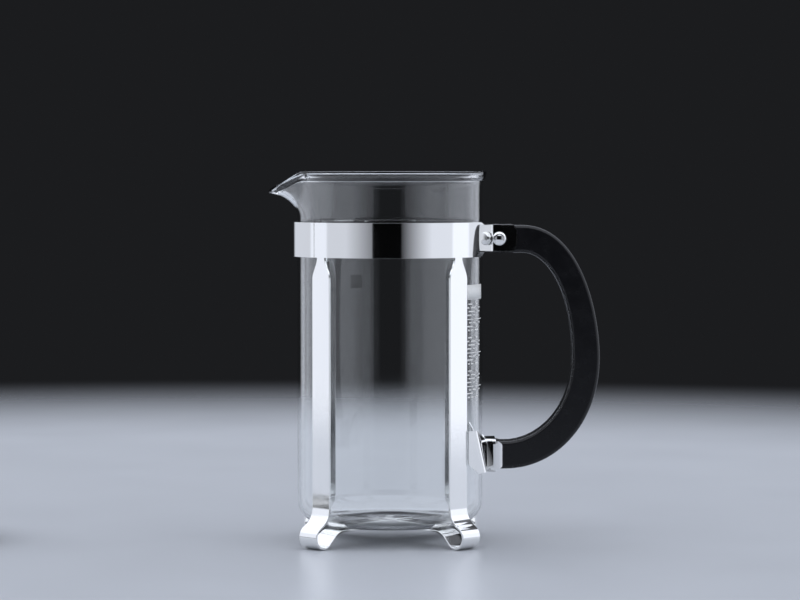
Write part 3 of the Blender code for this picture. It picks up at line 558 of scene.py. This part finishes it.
# ---------------------------------------------------------------- steel frame
def make_band():
    """Strip rolled round the legs' tabs; both ends turn out into ears beside the handle."""
    ear_end = BAND_HIGH.x - PRESS_X
    corner = math.hypot(EAR_START, EAR_INSIDE)
    leave = math.atan2(EAR_INSIDE, EAR_START) + math.acos(BAND_INSIDE / corner)
    plan = arc((0, 0), BAND_INSIDE, -math.pi, -leave, 84)
    x, y = plan[-1]
    turn = Vector((EAR_START, -EAR_INSIDE))
    along = (turn - Vector((x, y))).normalized()
    bend = 1.6 * MM
    columns = [(px, py, 0.0) for px, py in plan]
    for share in (0.1, 0.3, 0.55):
        columns.append((x + (turn.x - x) * share, y + (turn.y - y) * share, ease(share * 3)))
    for px, py in bezier(turn - along * bend, turn - along * bend * 0.4, turn + Vector((bend * 0.4, 0)),
                         turn + Vector((bend, 0)), 6):
        columns.append((px, py, 1.0))
    columns.append((turn.x + bend, turn.y, 1.0))
    points = [(px, py, BAND_LOW.z) for px, py, _ in columns]
    half = EAR_HEIGHT / 2
    middle = EAR_LOW + half
    ends = []
    for index in range(9):
        tilt = math.asin(half / EAR_ROUND) * (1 - index / 8)
        ends.append((ear_end - EAR_ROUND * (1 - math.cos(tilt)), EAR_ROUND * math.sin(tilt)))
    points += [(px, turn.y, middle - rise) for px, rise in ends[:-1]]
    points.append((ends[-1][0], turn.y, middle - 0.02 * MM))
    shape, lower, upper = swept_sheet(points, (0, 0, BAND_HIGH.z - BAND_LOW.z))
    for index, (px, py, share) in enumerate(columns):
        lower[index].co.z = BAND_LOW.z + (EAR_LOW - BAND_LOW.z) * share
        upper[index].co.z = BAND_HIGH.z + (EAR_LOW + EAR_HEIGHT - BAND_HIGH.z) * share
    for vert, partner in zip(lower[len(columns):], upper[len(columns):]):
        partner.co.z = 2 * middle - vert.co.z
    face_out(shape, (0, 0, middle))
    place(shape, PRESS_X)
    return finish_piece("steel_band", shape, "frame", "polished_steel", "band",
                        sharp=30, wall=BAND, side=1, edge=0.5 * MM, rounds=4, mirror=True)


def leg_line():
    """Half a strap's outer line as (radius, height, width), from the tab's top in to the centre."""
    foot = (STRAP_OUTSIDE + FOOT_REACH, FOOT_CURL * math.cos(FOOT_FLAT))
    low = -math.pi / 2
    curl = arc(foot, FOOT_CURL, FLARE_ANGLE, low + FOOT_FLAT, 22)
    curl += arc(foot, FOOT_CURL, low - FOOT_FLAT, -math.pi + RETURN_ANGLE, 8)
    run = FLARE_RADIUS * (1 - math.cos(FLARE_ANGLE))
    drop = (curl[0][0] - STRAP_OUTSIDE - run) * math.tan(FLARE_ANGLE - math.pi / 2)
    flare_z = curl[0][1] - drop + FLARE_RADIUS * math.sin(FLARE_ANGLE)
    flare = arc((STRAP_OUTSIDE + FLARE_RADIUS, flare_z), FLARE_RADIUS, math.pi, math.pi + FLARE_ANGLE, 14)
    end_x, end_z = curl[-1]
    climb = BASE_HEIGHT - RETURN_RADIUS * (1 - math.cos(RETURN_ANGLE)) - end_z
    turn_x = end_x - climb / math.tan(RETURN_ANGLE)
    back = arc((turn_x - RETURN_RADIUS * math.sin(RETURN_ANGLE), BASE_HEIGHT - RETURN_RADIUS),
               RETURN_RADIUS, math.pi / 2 - RETURN_ANGLE, math.pi / 2, 10)
    top = BAND_HIGH.z - 2 * MM
    line = [(STRAP_OUTSIDE, top, TAB_WIDTH), (STRAP_OUTSIDE, BAND_LOW.z, TAB_WIDTH)]
    for index in range(1, 13):
        share = index / 12
        line.append((STRAP_OUTSIDE, BAND_LOW.z - NECK_LENGTH * share,
                     TAB_WIDTH + (STRAP_WIDTH - TAB_WIDTH) * ease(share)))
    return line + [(r, z, STRAP_WIDTH) for r, z in flare + curl + back]


def make_leg_strap(name, node, angle, step):
    half = leg_line()
    for index in range(7):
        share = index / 6
        half.append((12 * MM - 3 * MM * share, BASE_HEIGHT + step * ease(share), STRAP_WIDTH))
    line = half + [(-r, z, width) for r, z, width in reversed(half)]
    shape, _, far = swept_sheet([(r, -width / 2, z) for r, z, width in line], (0, STRAP_WIDTH, 0))
    for vert, (r, z, width) in zip(far, line):
        vert.co.y = width / 2
    face_out(shape, (0, 0, 90 * MM))
    place(shape, PRESS_X, angle)
    return finish_piece(name, shape, "frame", "polished_steel", node,
                        sharp=30, wall=STRAP, side=-1, edge=0.25 * MM, rounds=3)


def make_rivet():
    low, high = RIVET_LOW.z, RIVET_HIGH.z
    head, shank, tall = 3.2 * MM, 1.6 * MM, 1.0 * MM
    dome = [(head * math.sin(a), tall * math.cos(a)) for a in (math.pi / 2 * i / 8 for i in range(9))]
    profile = [(r, high - tall + z) for r, z in dome] + [(shank, high - tall), (shank, low + tall)]
    profile += [(r, low + tall - z) for r, z in reversed(dome)]
    return finish_piece("cross_rivet_domed", place(spun(profile, SMALL), PRESS_X), "frame", "polished_steel",
                        "cross_rivet", sharp=50)


def make_bracket():
    """Sleeve round the handle's lower end; its sides fold along a slant into wings that reach the legs."""
    clip_low, clip_high = HANDLE_LOW.z - FIT, HANDLE_LOW.z + HANDLE_DEPTH + FIT
    half, middle, tall = HANDLE_HALF + FIT, (clip_low + clip_high) / 2, (clip_high - clip_low) / 2
    bend = 0.3 * MM
    far = CLIP_START + CLIP_LENGTH - 0.5 * MM
    shape = bmesh.new()
    heights = [clip_low + bend + (clip_high - clip_low - 2 * bend) * i / 10 for i in range(11)]
    top = arc((-half + bend, clip_high - bend), bend, math.pi, math.pi / 2, 4)[1:]
    bottom = arc((-half + bend, clip_low + bend), bend, -math.pi / 2, -math.pi, 4)[:-1]
    ring = [(0, clip_low)] + bottom + [(-half, z) for z in heights] + top + [(0, clip_high)]
    side = slice(1 + len(bottom), 1 + len(bottom) + len(heights))
    start, start_edges = chain(shape, [(CLIP_START, y, z) for y, z in ring])
    verts, edges = start, start_edges
    for run, out in ((0.3, 0.15), (0.6, 0.28), (4.1, 1.46), (4.4, 1.53), (4.7, 1.5), (5.1, 1.42)):
        verts, edges = extend(shape, verts, edges)
        for vert, (y, z) in zip(verts, ring):
            vert.co = Vector((CLIP_START + run * MM, y + y / half * out * MM, z))
    verts = verts[side]
    edges = [e for e in edges if e.verts[0] in verts and e.verts[1] in verts]
    for share, sink, out in ((0.35, 0.06, 1.18), (0.7, 0.29, 0.98), (0.9, 0.56, 0.7), (1.0, 1.0, 0.35)):
        verts, edges = extend(shape, verts, edges)
        for vert, z in zip(verts, heights):
            rise = max(min((z - middle) / tall * 1.13, 1), -1)
            height = middle + rise * (tall - CLIP_ROUND * sink)
            vert.co = Vector((far - CLIP_ROUND * (1 - share), -half - out * MM, height))
    leg = Vector((math.cos(LEG_ANGLE), -math.sin(LEG_ANGLE), 0)) * STRAP_OUTSIDE
    root = leg + Vector((math.sin(LEG_ANGLE), math.cos(LEG_ANGLE), 0)) * (STRAP_WIDTH / 2 + FIT)
    along = Vector((math.cos(WING_TURN), math.sin(WING_TURN), 0))
    wing_high = WING_LOW + WING_HEIGHT
    # upright lines from the fold back to the leg: low point, its height, high point, its height
    columns = [
        (root + along * FOLD_LOW, TIP_LOW + TIP_RISE, root + along * FOLD_HIGH, wing_high),
        (root + along * (WING_TIP + 1.4 * MM), TIP_LOW + 0.2 * MM,
         root + along * (FOLD_HIGH - 0.6 * MM), wing_high),
        (root + along * WING_TIP, TIP_LOW, root + along * (FOLD_HIGH - 1.2 * MM), wing_high),
        (root, WING_LOW, root, wing_high),
    ]
    verts = start[side]
    edges = [e for e in start_edges if e.verts[0] in verts and e.verts[1] in verts]
    fold = None
    for low_spot, low_z, high_spot, high_z in columns:
        verts, edges = extend(shape, verts, edges)
        fold = fold or edges
        for vert, z in zip(verts, heights):
            rise = (z - heights[0]) / (heights[-1] - heights[0])
            spot = low_spot.lerp(high_spot, rise)
            vert.co = Vector((spot.x, spot.y, low_z + (high_z - low_z) * rise))
    bmesh.ops.bevel(shape, geom=fold, offset=0.7 * MM, segments=3, profile=0.5, affect="EDGES")
    face_out(shape, (CLIP_START, 0, middle))
    place(shape, PRESS_X)
    return finish_piece("lower_clip", shape, "frame", "polished_steel", "lower_bracket",
                        sharp=25, wall=STRAP, side=1, edge=0.2 * MM, rounds=2, mirror=True)


# ---------------------------------------------------------------- handle
def handle_outline():
    start = HANDLE_LOW.x - PRESS_X
    reach = HANDLE_HIGH.x - PRESS_X
    top, bottom = HANDLE_HIGH.z, HANDLE_LOW.z
    top_in, bottom_in = top - HANDLE_DEPTH, bottom + HANDLE_DEPTH
    shoulder, heel = start + SHOULDER_RUN, start + HEEL_RUN
    outer, inner = (reach, HANDLE_MIDDLE), (reach - HANDLE_DEPTH, HANDLE_MIDDLE)
    points = [(start, top)]
    points += bezier((shoulder, top), (shoulder + SHOULDER_PULL, top),
                     (outer[0], outer[1] + BACK_HIGH_PULL), outer, OUTLINE_STEPS)
    points += bezier(outer, (outer[0], outer[1] - BACK_LOW_PULL),
                     (heel + HEEL_PULL, bottom), (heel, bottom), OUTLINE_STEPS)
    points += [(heel, bottom), (start, bottom), (start, bottom_in)]
    points += bezier((heel, bottom_in), (heel + INNER_HEEL_PULL, bottom_in),
                     (inner[0], inner[1] - GRIP_LOW_PULL), inner, OUTLINE_STEPS)
    points += bezier(inner, (inner[0], inner[1] + GRIP_HIGH_PULL),
                     (shoulder + INNER_SHOULDER_PULL, top_in), (shoulder, top_in), OUTLINE_STEPS)
    points += [(shoulder, top_in), (start, top_in)]
    return points


def slab(outline, half, x=0.0):
    """A flat outline in X and Z filled and extruded to both sides of Y = 0."""
    shape = bmesh.new()
    verts = [shape.verts.new((px, -half, pz)) for px, pz in outline]
    face = shape.faces.new(verts)
    made = bmesh.ops.extrude_face_region(shape, geom=[face])["geom"]
    far_side = [v for v in made if isinstance(v, bmesh.types.BMVert)]
    bmesh.ops.translate(shape, verts=far_side, vec=(0, 2 * half, 0))
    bmesh.ops.recalc_face_normals(shape, faces=shape.faces)
    bmesh.ops.translate(shape, verts=shape.verts, vec=(x, 0, 0))
    return shape


def carve(piece, cutters):
    """Apply the piece's modifiers and cut each shape out of it."""
    helpers = []
    for index, shape in enumerate(cutters):
        mesh = bpy.data.meshes.new(f"{piece.name}_cut_{index}")
        shape.to_mesh(mesh)
        shape.free()
        helper = bpy.data.objects.new(mesh.name, mesh)
        bpy.context.scene.collection.objects.link(helper)
        helpers.append(helper)
        hole = piece.modifiers.new(mesh.name, "BOOLEAN")
        hole.operation = "DIFFERENCE"
        hole.object = helper
        hole.solver = "MANIFOLD"
    bpy.context.view_layer.update()
    seen = piece.evaluated_get(bpy.context.evaluated_depsgraph_get())
    mesh = bpy.data.meshes.new_from_object(seen)
    piece.modifiers.clear()
    old = piece.data
    piece.data = mesh
    if "custom_normal" in mesh.attributes:
        mesh.attributes.remove(mesh.attributes["custom_normal"])
    mesh.name = piece.name
    bpy.data.meshes.remove(old)
    for helper in helpers:
        bpy.data.objects.remove(helper)
    return piece


def on_bolt_axis(y):
    """Turns a piece built upright onto the handle bolt's axis, at one place along it."""
    return Matrix.Translation((PRESS_X + BOLT_X, y, BOLT_Z)) @ Matrix.Rotation(math.pi / 2, 4, "X")


def make_handle():
    """Moulded D handle, eased along its edges and let in on both sides for the ears."""
    shape = slab(handle_outline(), HANDLE_HALF, PRESS_X)
    piece = finish_piece("moulded_handle", shape, "frame", "black_plastic", "handle",
                         sharp=50, edge=HANDLE_EDGE, rounds=5)
    middle = EAR_LOW + EAR_HEIGHT / 2
    reach = EAR_ROUND + FIT
    ear_end = BAND_HIGH.x - PRESS_X
    start = HANDLE_LOW.x - PRESS_X - 2 * MM
    outline = arc((ear_end - EAR_ROUND, middle), reach, -math.pi / 2, math.pi / 2, 32)
    outline += [(start, middle + reach), (start, middle - reach)]
    cutters = []
    depth = 2 * MM
    for side in (-1, 1):
        recess = slab(outline, depth, PRESS_X)
        bmesh.ops.translate(recess, verts=recess.verts, vec=(0, side * (EAR_SEAT + depth), 0))
        cutters.append(recess)
    bore = bmesh.new()
    turn = on_bolt_axis(0)
    bmesh.ops.create_cone(bore, cap_ends=True, segments=32, radius1=BOLT_BORE, radius2=BOLT_BORE,
                          depth=40 * MM, matrix=turn)
    cutters.append(bore)
    carve(piece, cutters)
    piece.data.set_sharp_from_angle(angle=math.radians(40))
    evened = piece.modifiers.new("normals", "WEIGHTED_NORMAL")
    evened.keep_sharp = True
    return piece


def make_bolt():
    """Domed bolt with a short upright edge round its head, on a plain shank."""
    head, tall, shank = 3.5 * MM, 2.4 * MM, 1.9 * MM
    length = BOLT_HIGH.y - BOLT_LOW.y - tall
    crown, corner = 0.7 * MM, 1.3 * MM
    dome = [((head - corner) * i / 8, tall - crown * (i / 8) ** 2 * 0.5) for i in range(8)]
    dome += arc((head - corner, tall - crown * 0.5 - corner), corner, math.pi / 2, 0, 8) + [(head, 0)]
    profile = dome + [(shank, 0), (shank, -length + 0.3 * MM), (shank - 0.3 * MM, -length), (0, -length)]
    shape = spun(profile, SMALL)
    matrix = on_bolt_axis(BOLT_LOW.y + tall)
    bmesh.ops.transform(shape, matrix=matrix, verts=shape.verts)
    return finish_piece("domed_bolt", shape, "frame", "polished_steel", "handle_bolt",
                        sharp=40, edge=0.15 * MM, rounds=2)


def make_nut():
    """Hexagon nut, its corners turned off on both faces."""
    tall = NUT_HIGH.y - NUT_LOW.y
    shape = bmesh.new()
    matrix = on_bolt_axis((NUT_LOW.y + NUT_HIGH.y) / 2)
    radius = (NUT_HIGH.x - NUT_LOW.x) / 2
    if NUT_HIGH.z - NUT_LOW.z > NUT_HIGH.x - NUT_LOW.x:
        radius = (NUT_HIGH.z - NUT_LOW.z) / 2
        matrix = matrix @ Matrix.Rotation(math.pi / 6, 4, "Z")
    bmesh.ops.create_cone(shape, cap_ends=True, segments=6, radius1=radius, radius2=radius,
                          depth=tall, matrix=matrix)
    piece = finish_piece("hexagon_nut", shape, "frame", "fastener_steel", "handle_nut",
                         sharp=30, edge=0.35 * MM, rounds=3)
    bore = bmesh.new()
    bmesh.ops.create_cone(bore, cap_ends=True, segments=32, radius1=BOLT_BORE, radius2=BOLT_BORE,
                          depth=3 * tall, matrix=matrix)
    return carve(piece, [bore])


# ---------------------------------------------------------------- plunger
def flat_plate(outlines, thickness, low, ease_edge=0.12 * MM):
    """A flat plate with holes, its edges just eased, as a bmesh on the plunger's axis."""
    curve = bpy.data.curves.new("plate_outline", "CURVE")
    curve.dimensions = "2D"
    curve.fill_mode = "BOTH"
    curve.extrude = thickness / 2 - ease_edge
    curve.bevel_depth = ease_edge
    curve.bevel_resolution = 1
    curve.offset = -ease_edge
    for outline in outlines:
        spline = curve.splines.new("POLY")
        spline.points.add(len(outline) - 1)
        for point, (u, v) in zip(spline.points, outline):
            point.co = (u, v, 0, 1)
        spline.use_cyclic_u = True
    holder = bpy.data.objects.new("plate_outline", curve)
    bpy.context.scene.collection.objects.link(holder)
    bpy.context.view_layer.update()
    mesh = bpy.data.meshes.new_from_object(holder.evaluated_get(bpy.context.evaluated_depsgraph_get()))
    bpy.data.objects.remove(holder)
    bpy.data.curves.remove(curve)
    shape = bmesh.new()
    shape.from_mesh(mesh)
    bpy.data.meshes.remove(mesh)
    bmesh.ops.remove_doubles(shape, verts=shape.verts, dist=MERGE)
    bmesh.ops.recalc_face_normals(shape, faces=shape.faces)
    return place(shape, PLUNGER_X, 0, low + thickness / 2)


def make_cross_plate():
    """Pressed lower plate: a rim and four spokes."""
    outer = CROSS_HIGH.x - PLUNGER_X
    inside = outer - 4.5 * MM
    centre = 11.0 * MM
    outlines = [circle((0, 0), outer, FINE)]
    for index in range(4):
        start = math.pi / 2 * index
        end = start + math.pi / 2
        far, near = 3.5 * MM / inside, 3.5 * MM / centre
        outlines.append(arc((0, 0), inside, start + far, end - far, 30)
                        + arc((0, 0), centre, end - near, start + near, 10))
    shape = flat_plate(outlines, CROSS_HIGH.z - CROSS_LOW.z, CROSS_LOW.z)
    return finish_piece("cross_spoke_plate", shape, "plunger", "pressed_steel", "cross_plate", sharp=30)


def make_filter_mesh():
    """Woven disc, its edge eased to a thin lip under the spring."""
    outer = MESH_HIGH.x - PLUNGER_X
    low, high = MESH_LOW.z, MESH_HIGH.z
    eased = outer - 0.2 * MM
    profile = [(HUB_BORE, high), (eased, high), (outer, (low + high) / 2), (eased, low), (HUB_BORE, low)]
    shape = place(spun(profile, FINE, closed=True), PLUNGER_X)
    return finish_piece("woven_filter", shape, "plunger", "woven_steel", "filter_mesh", sharp=30)


def make_spiral_plate():
    """Perforated plate whose rim lifts to sit in the spring."""
    thickness = 0.8 * MM
    low = SPIRAL_LOW.z
    outer = SPIRAL_HIGH.x - PLUNGER_X
    outlines = [circle((0, 0), outer, FINE), circle((0, 0), HUB_BORE, 48)]
    for ring, count in ((16.0 * MM, 8), (26.0 * MM, 14)):
        for index in range(count):
            turn = 2 * math.pi * (index + 0.5) / count
            outlines.append(circle((ring * math.cos(turn), ring * math.sin(turn)), 3 * MM, 20))
    shape = flat_plate(outlines, thickness, low)
    rise = SPIRAL_HIGH.z - SPIRAL_LOW.z - thickness
    for vert in shape.verts:
        radius = math.hypot(vert.co.x - PLUNGER_X, vert.co.y)
        vert.co.z += rise * ease((radius - outer + 1.4 * MM) / (1.4 * MM))
    return finish_piece("perforated_plate", shape, "plunger", "pressed_steel", "spiral_plate", sharp=30)


def make_rim_coil():
    """Close-wound spring of 0.9 mm wire bent into a ring and joined end to end."""
    ring = COIL_HIGH.x - PLUNGER_X - COIL_RADIUS
    middle = (COIL_LOW.z + COIL_HIGH.z) / 2
    winding = COIL_RADIUS - COIL_WIRE
    curve = bpy.data.curves.new("rim_coil_line", "CURVE")
    curve.dimensions = "3D"
    curve.bevel_depth = COIL_WIRE
    curve.bevel_resolution = 2
    per_turn = 14
    count = COIL_TURNS * per_turn
    spline = curve.splines.new("POLY")
    spline.points.add(count - 1)
    for index, point in enumerate(spline.points):
        around = 2 * math.pi * index / count
        twist = around * COIL_TURNS
        radius = ring + winding * math.cos(twist)
        height = middle + winding * math.sin(twist)
        point.co = (radius * math.cos(around), radius * math.sin(around), height, 1)
    spline.use_cyclic_u = True
    holder = bpy.data.objects.new("rim_coil_line", curve)
    bpy.context.scene.collection.objects.link(holder)
    bpy.context.view_layer.update()
    mesh = bpy.data.meshes.new_from_object(holder.evaluated_get(bpy.context.evaluated_depsgraph_get()))
    bpy.data.objects.remove(holder)
    bpy.data.curves.remove(curve)
    shape = bmesh.new()
    shape.from_mesh(mesh)
    bpy.data.meshes.remove(mesh)
    place(shape, PLUNGER_X)
    return finish_piece("wound_spring", shape, "plunger", "spring_steel", "rim_coil", sharp=60)


def make_hub():
    low, high = HUB_LOW.z, HUB_HIGH.z
    seat = low + 1.8 * MM
    bore, body, flange = ROD_BORE, 5.2 * MM, 8.5 * MM
    profile = [(bore, high), (body - 1 * MM, high), (body, high - 1 * MM), (body, seat + 1.6 * MM),
               (flange - 0.3 * MM, seat + 1.2 * MM), (flange, seat + 0.9 * MM), (flange, seat), (body, seat),
               (body, low), (bore, low)]
    shape = place(spun(profile, SMALL, closed=True), PLUNGER_X)
    return finish_piece("clamp_hub", shape, "plunger", "fastener_steel", "filter_hub",
                        sharp=35, edge=0.15 * MM, rounds=2)


def make_rod():
    radius = ROD_HIGH.x - PLUNGER_X
    low, high, tip = ROD_LOW.z, ROD_HIGH.z, 0.6 * MM
    profile = [(0, high), (radius - tip, high), (radius, high - tip),
               (radius, low + tip), (radius - tip, low), (0, low)]
    shape = place(spun(profile, SMALL), PLUNGER_X)
    return finish_piece("plunger_rod", shape, "plunger", "polished_steel", "rod",
                        sharp=35, edge=0.15 * MM, rounds=2)


def make_knob():
    """Round knob on a short waisted neck, bored from below for the rod."""
    low, high = KNOB_LOW.z, KNOB_HIGH.z
    radius = KNOB_HIGH.x - PLUNGER_X
    tall = high - low
    widest, neck, bore, depth = 0.55, 8.5 * MM, ROD_BORE, 12 * MM
    profile = []
    for index in range(33):
        angle = math.pi / 2 - math.radians(148) * index / 32
        height = low + tall * (widest + (1 - widest) * math.sin(angle))
        profile.append((max(radius * math.cos(angle), 0), height))
    last = profile[-1]
    profile += bezier(last, (last[0] - 0.8 * MM, last[1] - 1.2 * MM),
                      (neck, low + 2.4 * MM), (neck, low + 1.2 * MM), 6)[1:]
    profile += [(neck, low + 1.0 * MM), (neck - 0.4 * MM, low + 0.2 * MM), (neck - 1 * MM, low), (bore, low)]
    profile += [(bore, low + depth), (0, low + depth)]
    shape = place(spun(profile, FINE), PLUNGER_X)
    return finish_piece("ball_knob", shape, "plunger", "gloss_black", "knob", sharp=50)


# ---------------------------------------------------------------- lid
def make_dome():
    """Thin dome spun from steel sheet, its edge turned down over the liner."""
    outer_r = DOME_HIGH.x - PLUNGER_X
    sheet, bore = 1.0 * MM, BUSH_BORE
    edge = DOME_LOW.z + 2.1 * MM
    tall = DOME_HIGH.z - edge - sheet

    def curve(radius, base):
        stop = math.acos(bore / radius)
        angles = [stop * i / 30 for i in range(31)]
        return [(radius * math.cos(a), base + tall * math.sin(a) / math.sin(stop)) for a in angles]

    outer, inner = curve(outer_r, edge + sheet), curve(outer_r - sheet, edge)
    profile = outer[::-1] + [(outer_r, DOME_LOW.z + 0.3 * MM), (outer_r - 0.3 * MM, DOME_LOW.z),
                             (outer_r - sheet, DOME_LOW.z)] + inner
    shape = place(spun(profile, EXTRA_FINE, closed=True), PLUNGER_X)
    piece = finish_piece("lid_dome_shell", shape, "lid", "polished_steel", "lid_dome", sharp=40)
    piece.visible_glossy = False       # the lid set stands aside and would mirror in the beaker's left legs
    return piece


def make_liner():
    """Moulded inner lid: top plate, skirt, and a comb of strainer slots on the pouring side."""
    low, high = LINER_LOW.z, LINER_HIGH.z
    plate_low = high - 1.8 * MM
    rim = LINER_HIGH.x - PLUNGER_X
    skirt = GLASS_RADIUS - GLASS_WALL - 0.6 * MM
    bore = BUSH_BORE
    profile = [(bore, high), (rim - 0.3 * MM, high), (rim, high - 0.3 * MM), (rim, plate_low + 0.3 * MM),
               (rim - 0.3 * MM, plate_low), (skirt + 0.6 * MM, plate_low), (skirt, plate_low - 0.6 * MM),
               (skirt, low + 0.5 * MM), (skirt - 0.5 * MM, low), (skirt - SKIRT + 0.3 * MM, low),
               (skirt - SKIRT, low + 0.3 * MM), (skirt - SKIRT, plate_low), (bore, plate_low)]
    shape = place(spun(profile, FINE, closed=True), PLUNGER_X)
    piece = finish_piece("lid_inner_moulding", shape, "lid", "black_plastic", "lid_liner", sharp=35)
    cutters = []
    for index in range(7):
        angle = math.pi + (index - 3) * math.radians(6.5)
        size = Matrix.Diagonal((8 * MM, 2.2 * MM, (plate_low - low) * 0.55, 1))
        matrix = (Matrix.Translation((PLUNGER_X, 0, (low + plate_low) / 2)) @ Matrix.Rotation(angle, 4, "Z")
                  @ Matrix.Translation((skirt, 0, 0)) @ size)
        slot_shape = bmesh.new()
        bmesh.ops.create_cube(slot_shape, size=1, matrix=matrix)
        cutters.append(slot_shape)
    carve(piece, cutters)
    piece.data.set_sharp_from_angle(angle=math.radians(35))
    piece.visible_glossy = False
    return piece


def make_bush():
    low, high = BUSH_LOW.z, BUSH_HIGH.z
    bore, body, flange = ROD_BORE, 5.0 * MM, 7.5 * MM
    seat = high - 2 * MM
    profile = [(bore, high), (flange - 1.3 * MM, high), (flange - 0.4 * MM, high - 0.35 * MM),
               (flange, high - 1.0 * MM), (flange, seat), (body, seat), (body, low), (bore, low)]
    shape = place(spun(profile, SMALL, closed=True), PLUNGER_X)
    return finish_piece("guide_bush", shape, "lid_guide", "fastener_steel", "lid_bush",
                        sharp=35, edge=0.15 * MM, rounds=2)


def make_ring():
    low, high = RING_LOW.z, RING_HIGH.z
    outer, bore = RING_HIGH.x - PLUNGER_X, BUSH_BORE
    profile = [(bore, high), (outer, high), (outer, low + 0.6 * MM), (outer - 0.8 * MM, low), (bore, low)]
    shape = place(spun(profile, SMALL, closed=True), PLUNGER_X)
    return finish_piece("locking_ring", shape, "lid_guide", "fastener_steel", "lid_ring",
                        sharp=35, edge=0.15 * MM, rounds=2)


# ---------------------------------------------------------------- table, light and camera
def make_table():
    shape = bmesh.new()
    bmesh.ops.create_circle(shape, cap_ends=True, segments=128, radius=TABLE_RADIUS)
    bmesh.ops.translate(shape, verts=shape.verts, vec=(0, 0, -0.0002))
    mesh = bpy.data.meshes.new("table_top")
    shape.to_mesh(mesh)
    shape.free()
    mesh.materials.append(pale_table())
    table = bpy.data.objects.new("table_top", mesh)
    bpy.context.scene.collection.objects.link(table)


def make_studio():
    """Soft white walls that brighten to the sides, a dark gap in front, a dark rear, a bright ceiling.

    Angles are in degrees from straight ahead of the press, positive towards the handle.
    """
    world = bpy.data.worlds.new("studio")
    bpy.context.scene.world = world
    world.use_nodes = True
    tree = world.node_tree
    background = tree.nodes["Background"]
    way = add_node(tree, "ShaderNodeTexCoord").outputs["Generated"]
    split = add_node(tree, "ShaderNodeSeparateXYZ", {"Vector": way})
    back = add_node(tree, "ShaderNodeMath", {0: split.outputs["Y"], 1: -1.0}, operation="MULTIPLY")
    around = add_node(tree, "ShaderNodeMath", {0: split.outputs["X"], 1: back.outputs[0]},
                      operation="ARCTAN2").outputs["Value"]
    up = add_node(tree, "ShaderNodeMath", {0: split.outputs["Z"]}, operation="ARCSINE")

    def step(value, low, high, start=0.0, end=1.0):
        return add_node(tree, "ShaderNodeMapRange",
                        {"Value": value, "From Min": math.radians(low), "From Max": math.radians(high),
                         "To Min": start, "To Max": end}, interpolation_type="SMOOTHSTEP").outputs["Result"]

    def ramp(value, low, high, start, end):
        return add_node(tree, "ShaderNodeMapRange",
                        {"Value": value, "From Min": math.radians(low), "From Max": math.radians(high),
                         "To Min": start, "To Max": end}).outputs["Result"]

    def combine(kind, a, b):
        return add_node(tree, "ShaderNodeMath", {0: a, 1: b}, operation=kind).outputs["Value"]

    side = combine("ABSOLUTE", around, 0.0)
    other_way = combine("MULTIPLY", around, -1.0)
    right = combine("MULTIPLY", step(around, 12.5, 14), ramp(around, 13, 50, 0.04, 0.95))
    left = combine("MULTIPLY", step(other_way, 19.3, 20.8), ramp(other_way, 20, 52, 0.28, 0.8))
    strips = combine("SUBTRACT", step(side, 76, 80, 0.0, STRIP_LIGHT), step(side, 103, 107, 0.0, STRIP_LIGHT))
    walls = combine("ADD", combine("ADD", right, left), strips)
    shown = combine("MULTIPLY", walls, step(side, 143, 151, 1.0, 0.0))
    dark = step(side, 20, 90, GAP_LIGHT, DARK_LIGHT)
    wall_light = combine("ADD", shown, dark)
    ceiling = step(up.outputs[0], 20, 30)
    upper = add_node(tree, "ShaderNodeMix", {"Factor": ceiling, 2: wall_light, 3: CEILING_LIGHT}).outputs[0]
    lower = step(up.outputs[0], -14, -9)
    light = add_node(tree, "ShaderNodeMix", {"Factor": lower, 2: FLOOR_LIGHT, 3: upper}).outputs[0]
    tree.links.new(light, background.inputs["Strength"])
    background.inputs["Color"].default_value = colour("#EEF3FF")


def make_camera():
    lens = bpy.data.cameras.new("camera")
    lens.lens = 139.5
    lens.sensor_width = 36
    camera = bpy.data.objects.new("camera", lens)
    camera.location = (PRESS_X + 5.2 * MM, -1.6, 0.192)
    camera.rotation_euler = (math.radians(90 - 2.41), 0, 0)
    bpy.context.scene.collection.objects.link(camera)
    bpy.context.scene.camera = camera
    bpy.context.scene.view_settings.view_transform = "Standard"


make_camera()
make_studio()
make_table()
make_beaker()
make_level_print()
make_band()
make_leg_strap("leg_strap_low", "leg_strap_lower", LEG_ANGLE, 0.0)
make_leg_strap("leg_strap_high", "leg_strap_upper", -LEG_ANGLE, CROSS_STEP)
make_rivet()
make_bracket()
make_handle()
make_bolt()
make_nut()
make_cross_plate()
make_filter_mesh()
make_spiral_plate()
make_rim_coil()
make_hub()
make_rod()
make_knob()
make_dome()
make_liner()
make_bush()
make_ring()

bpy.context.view_layer.update()
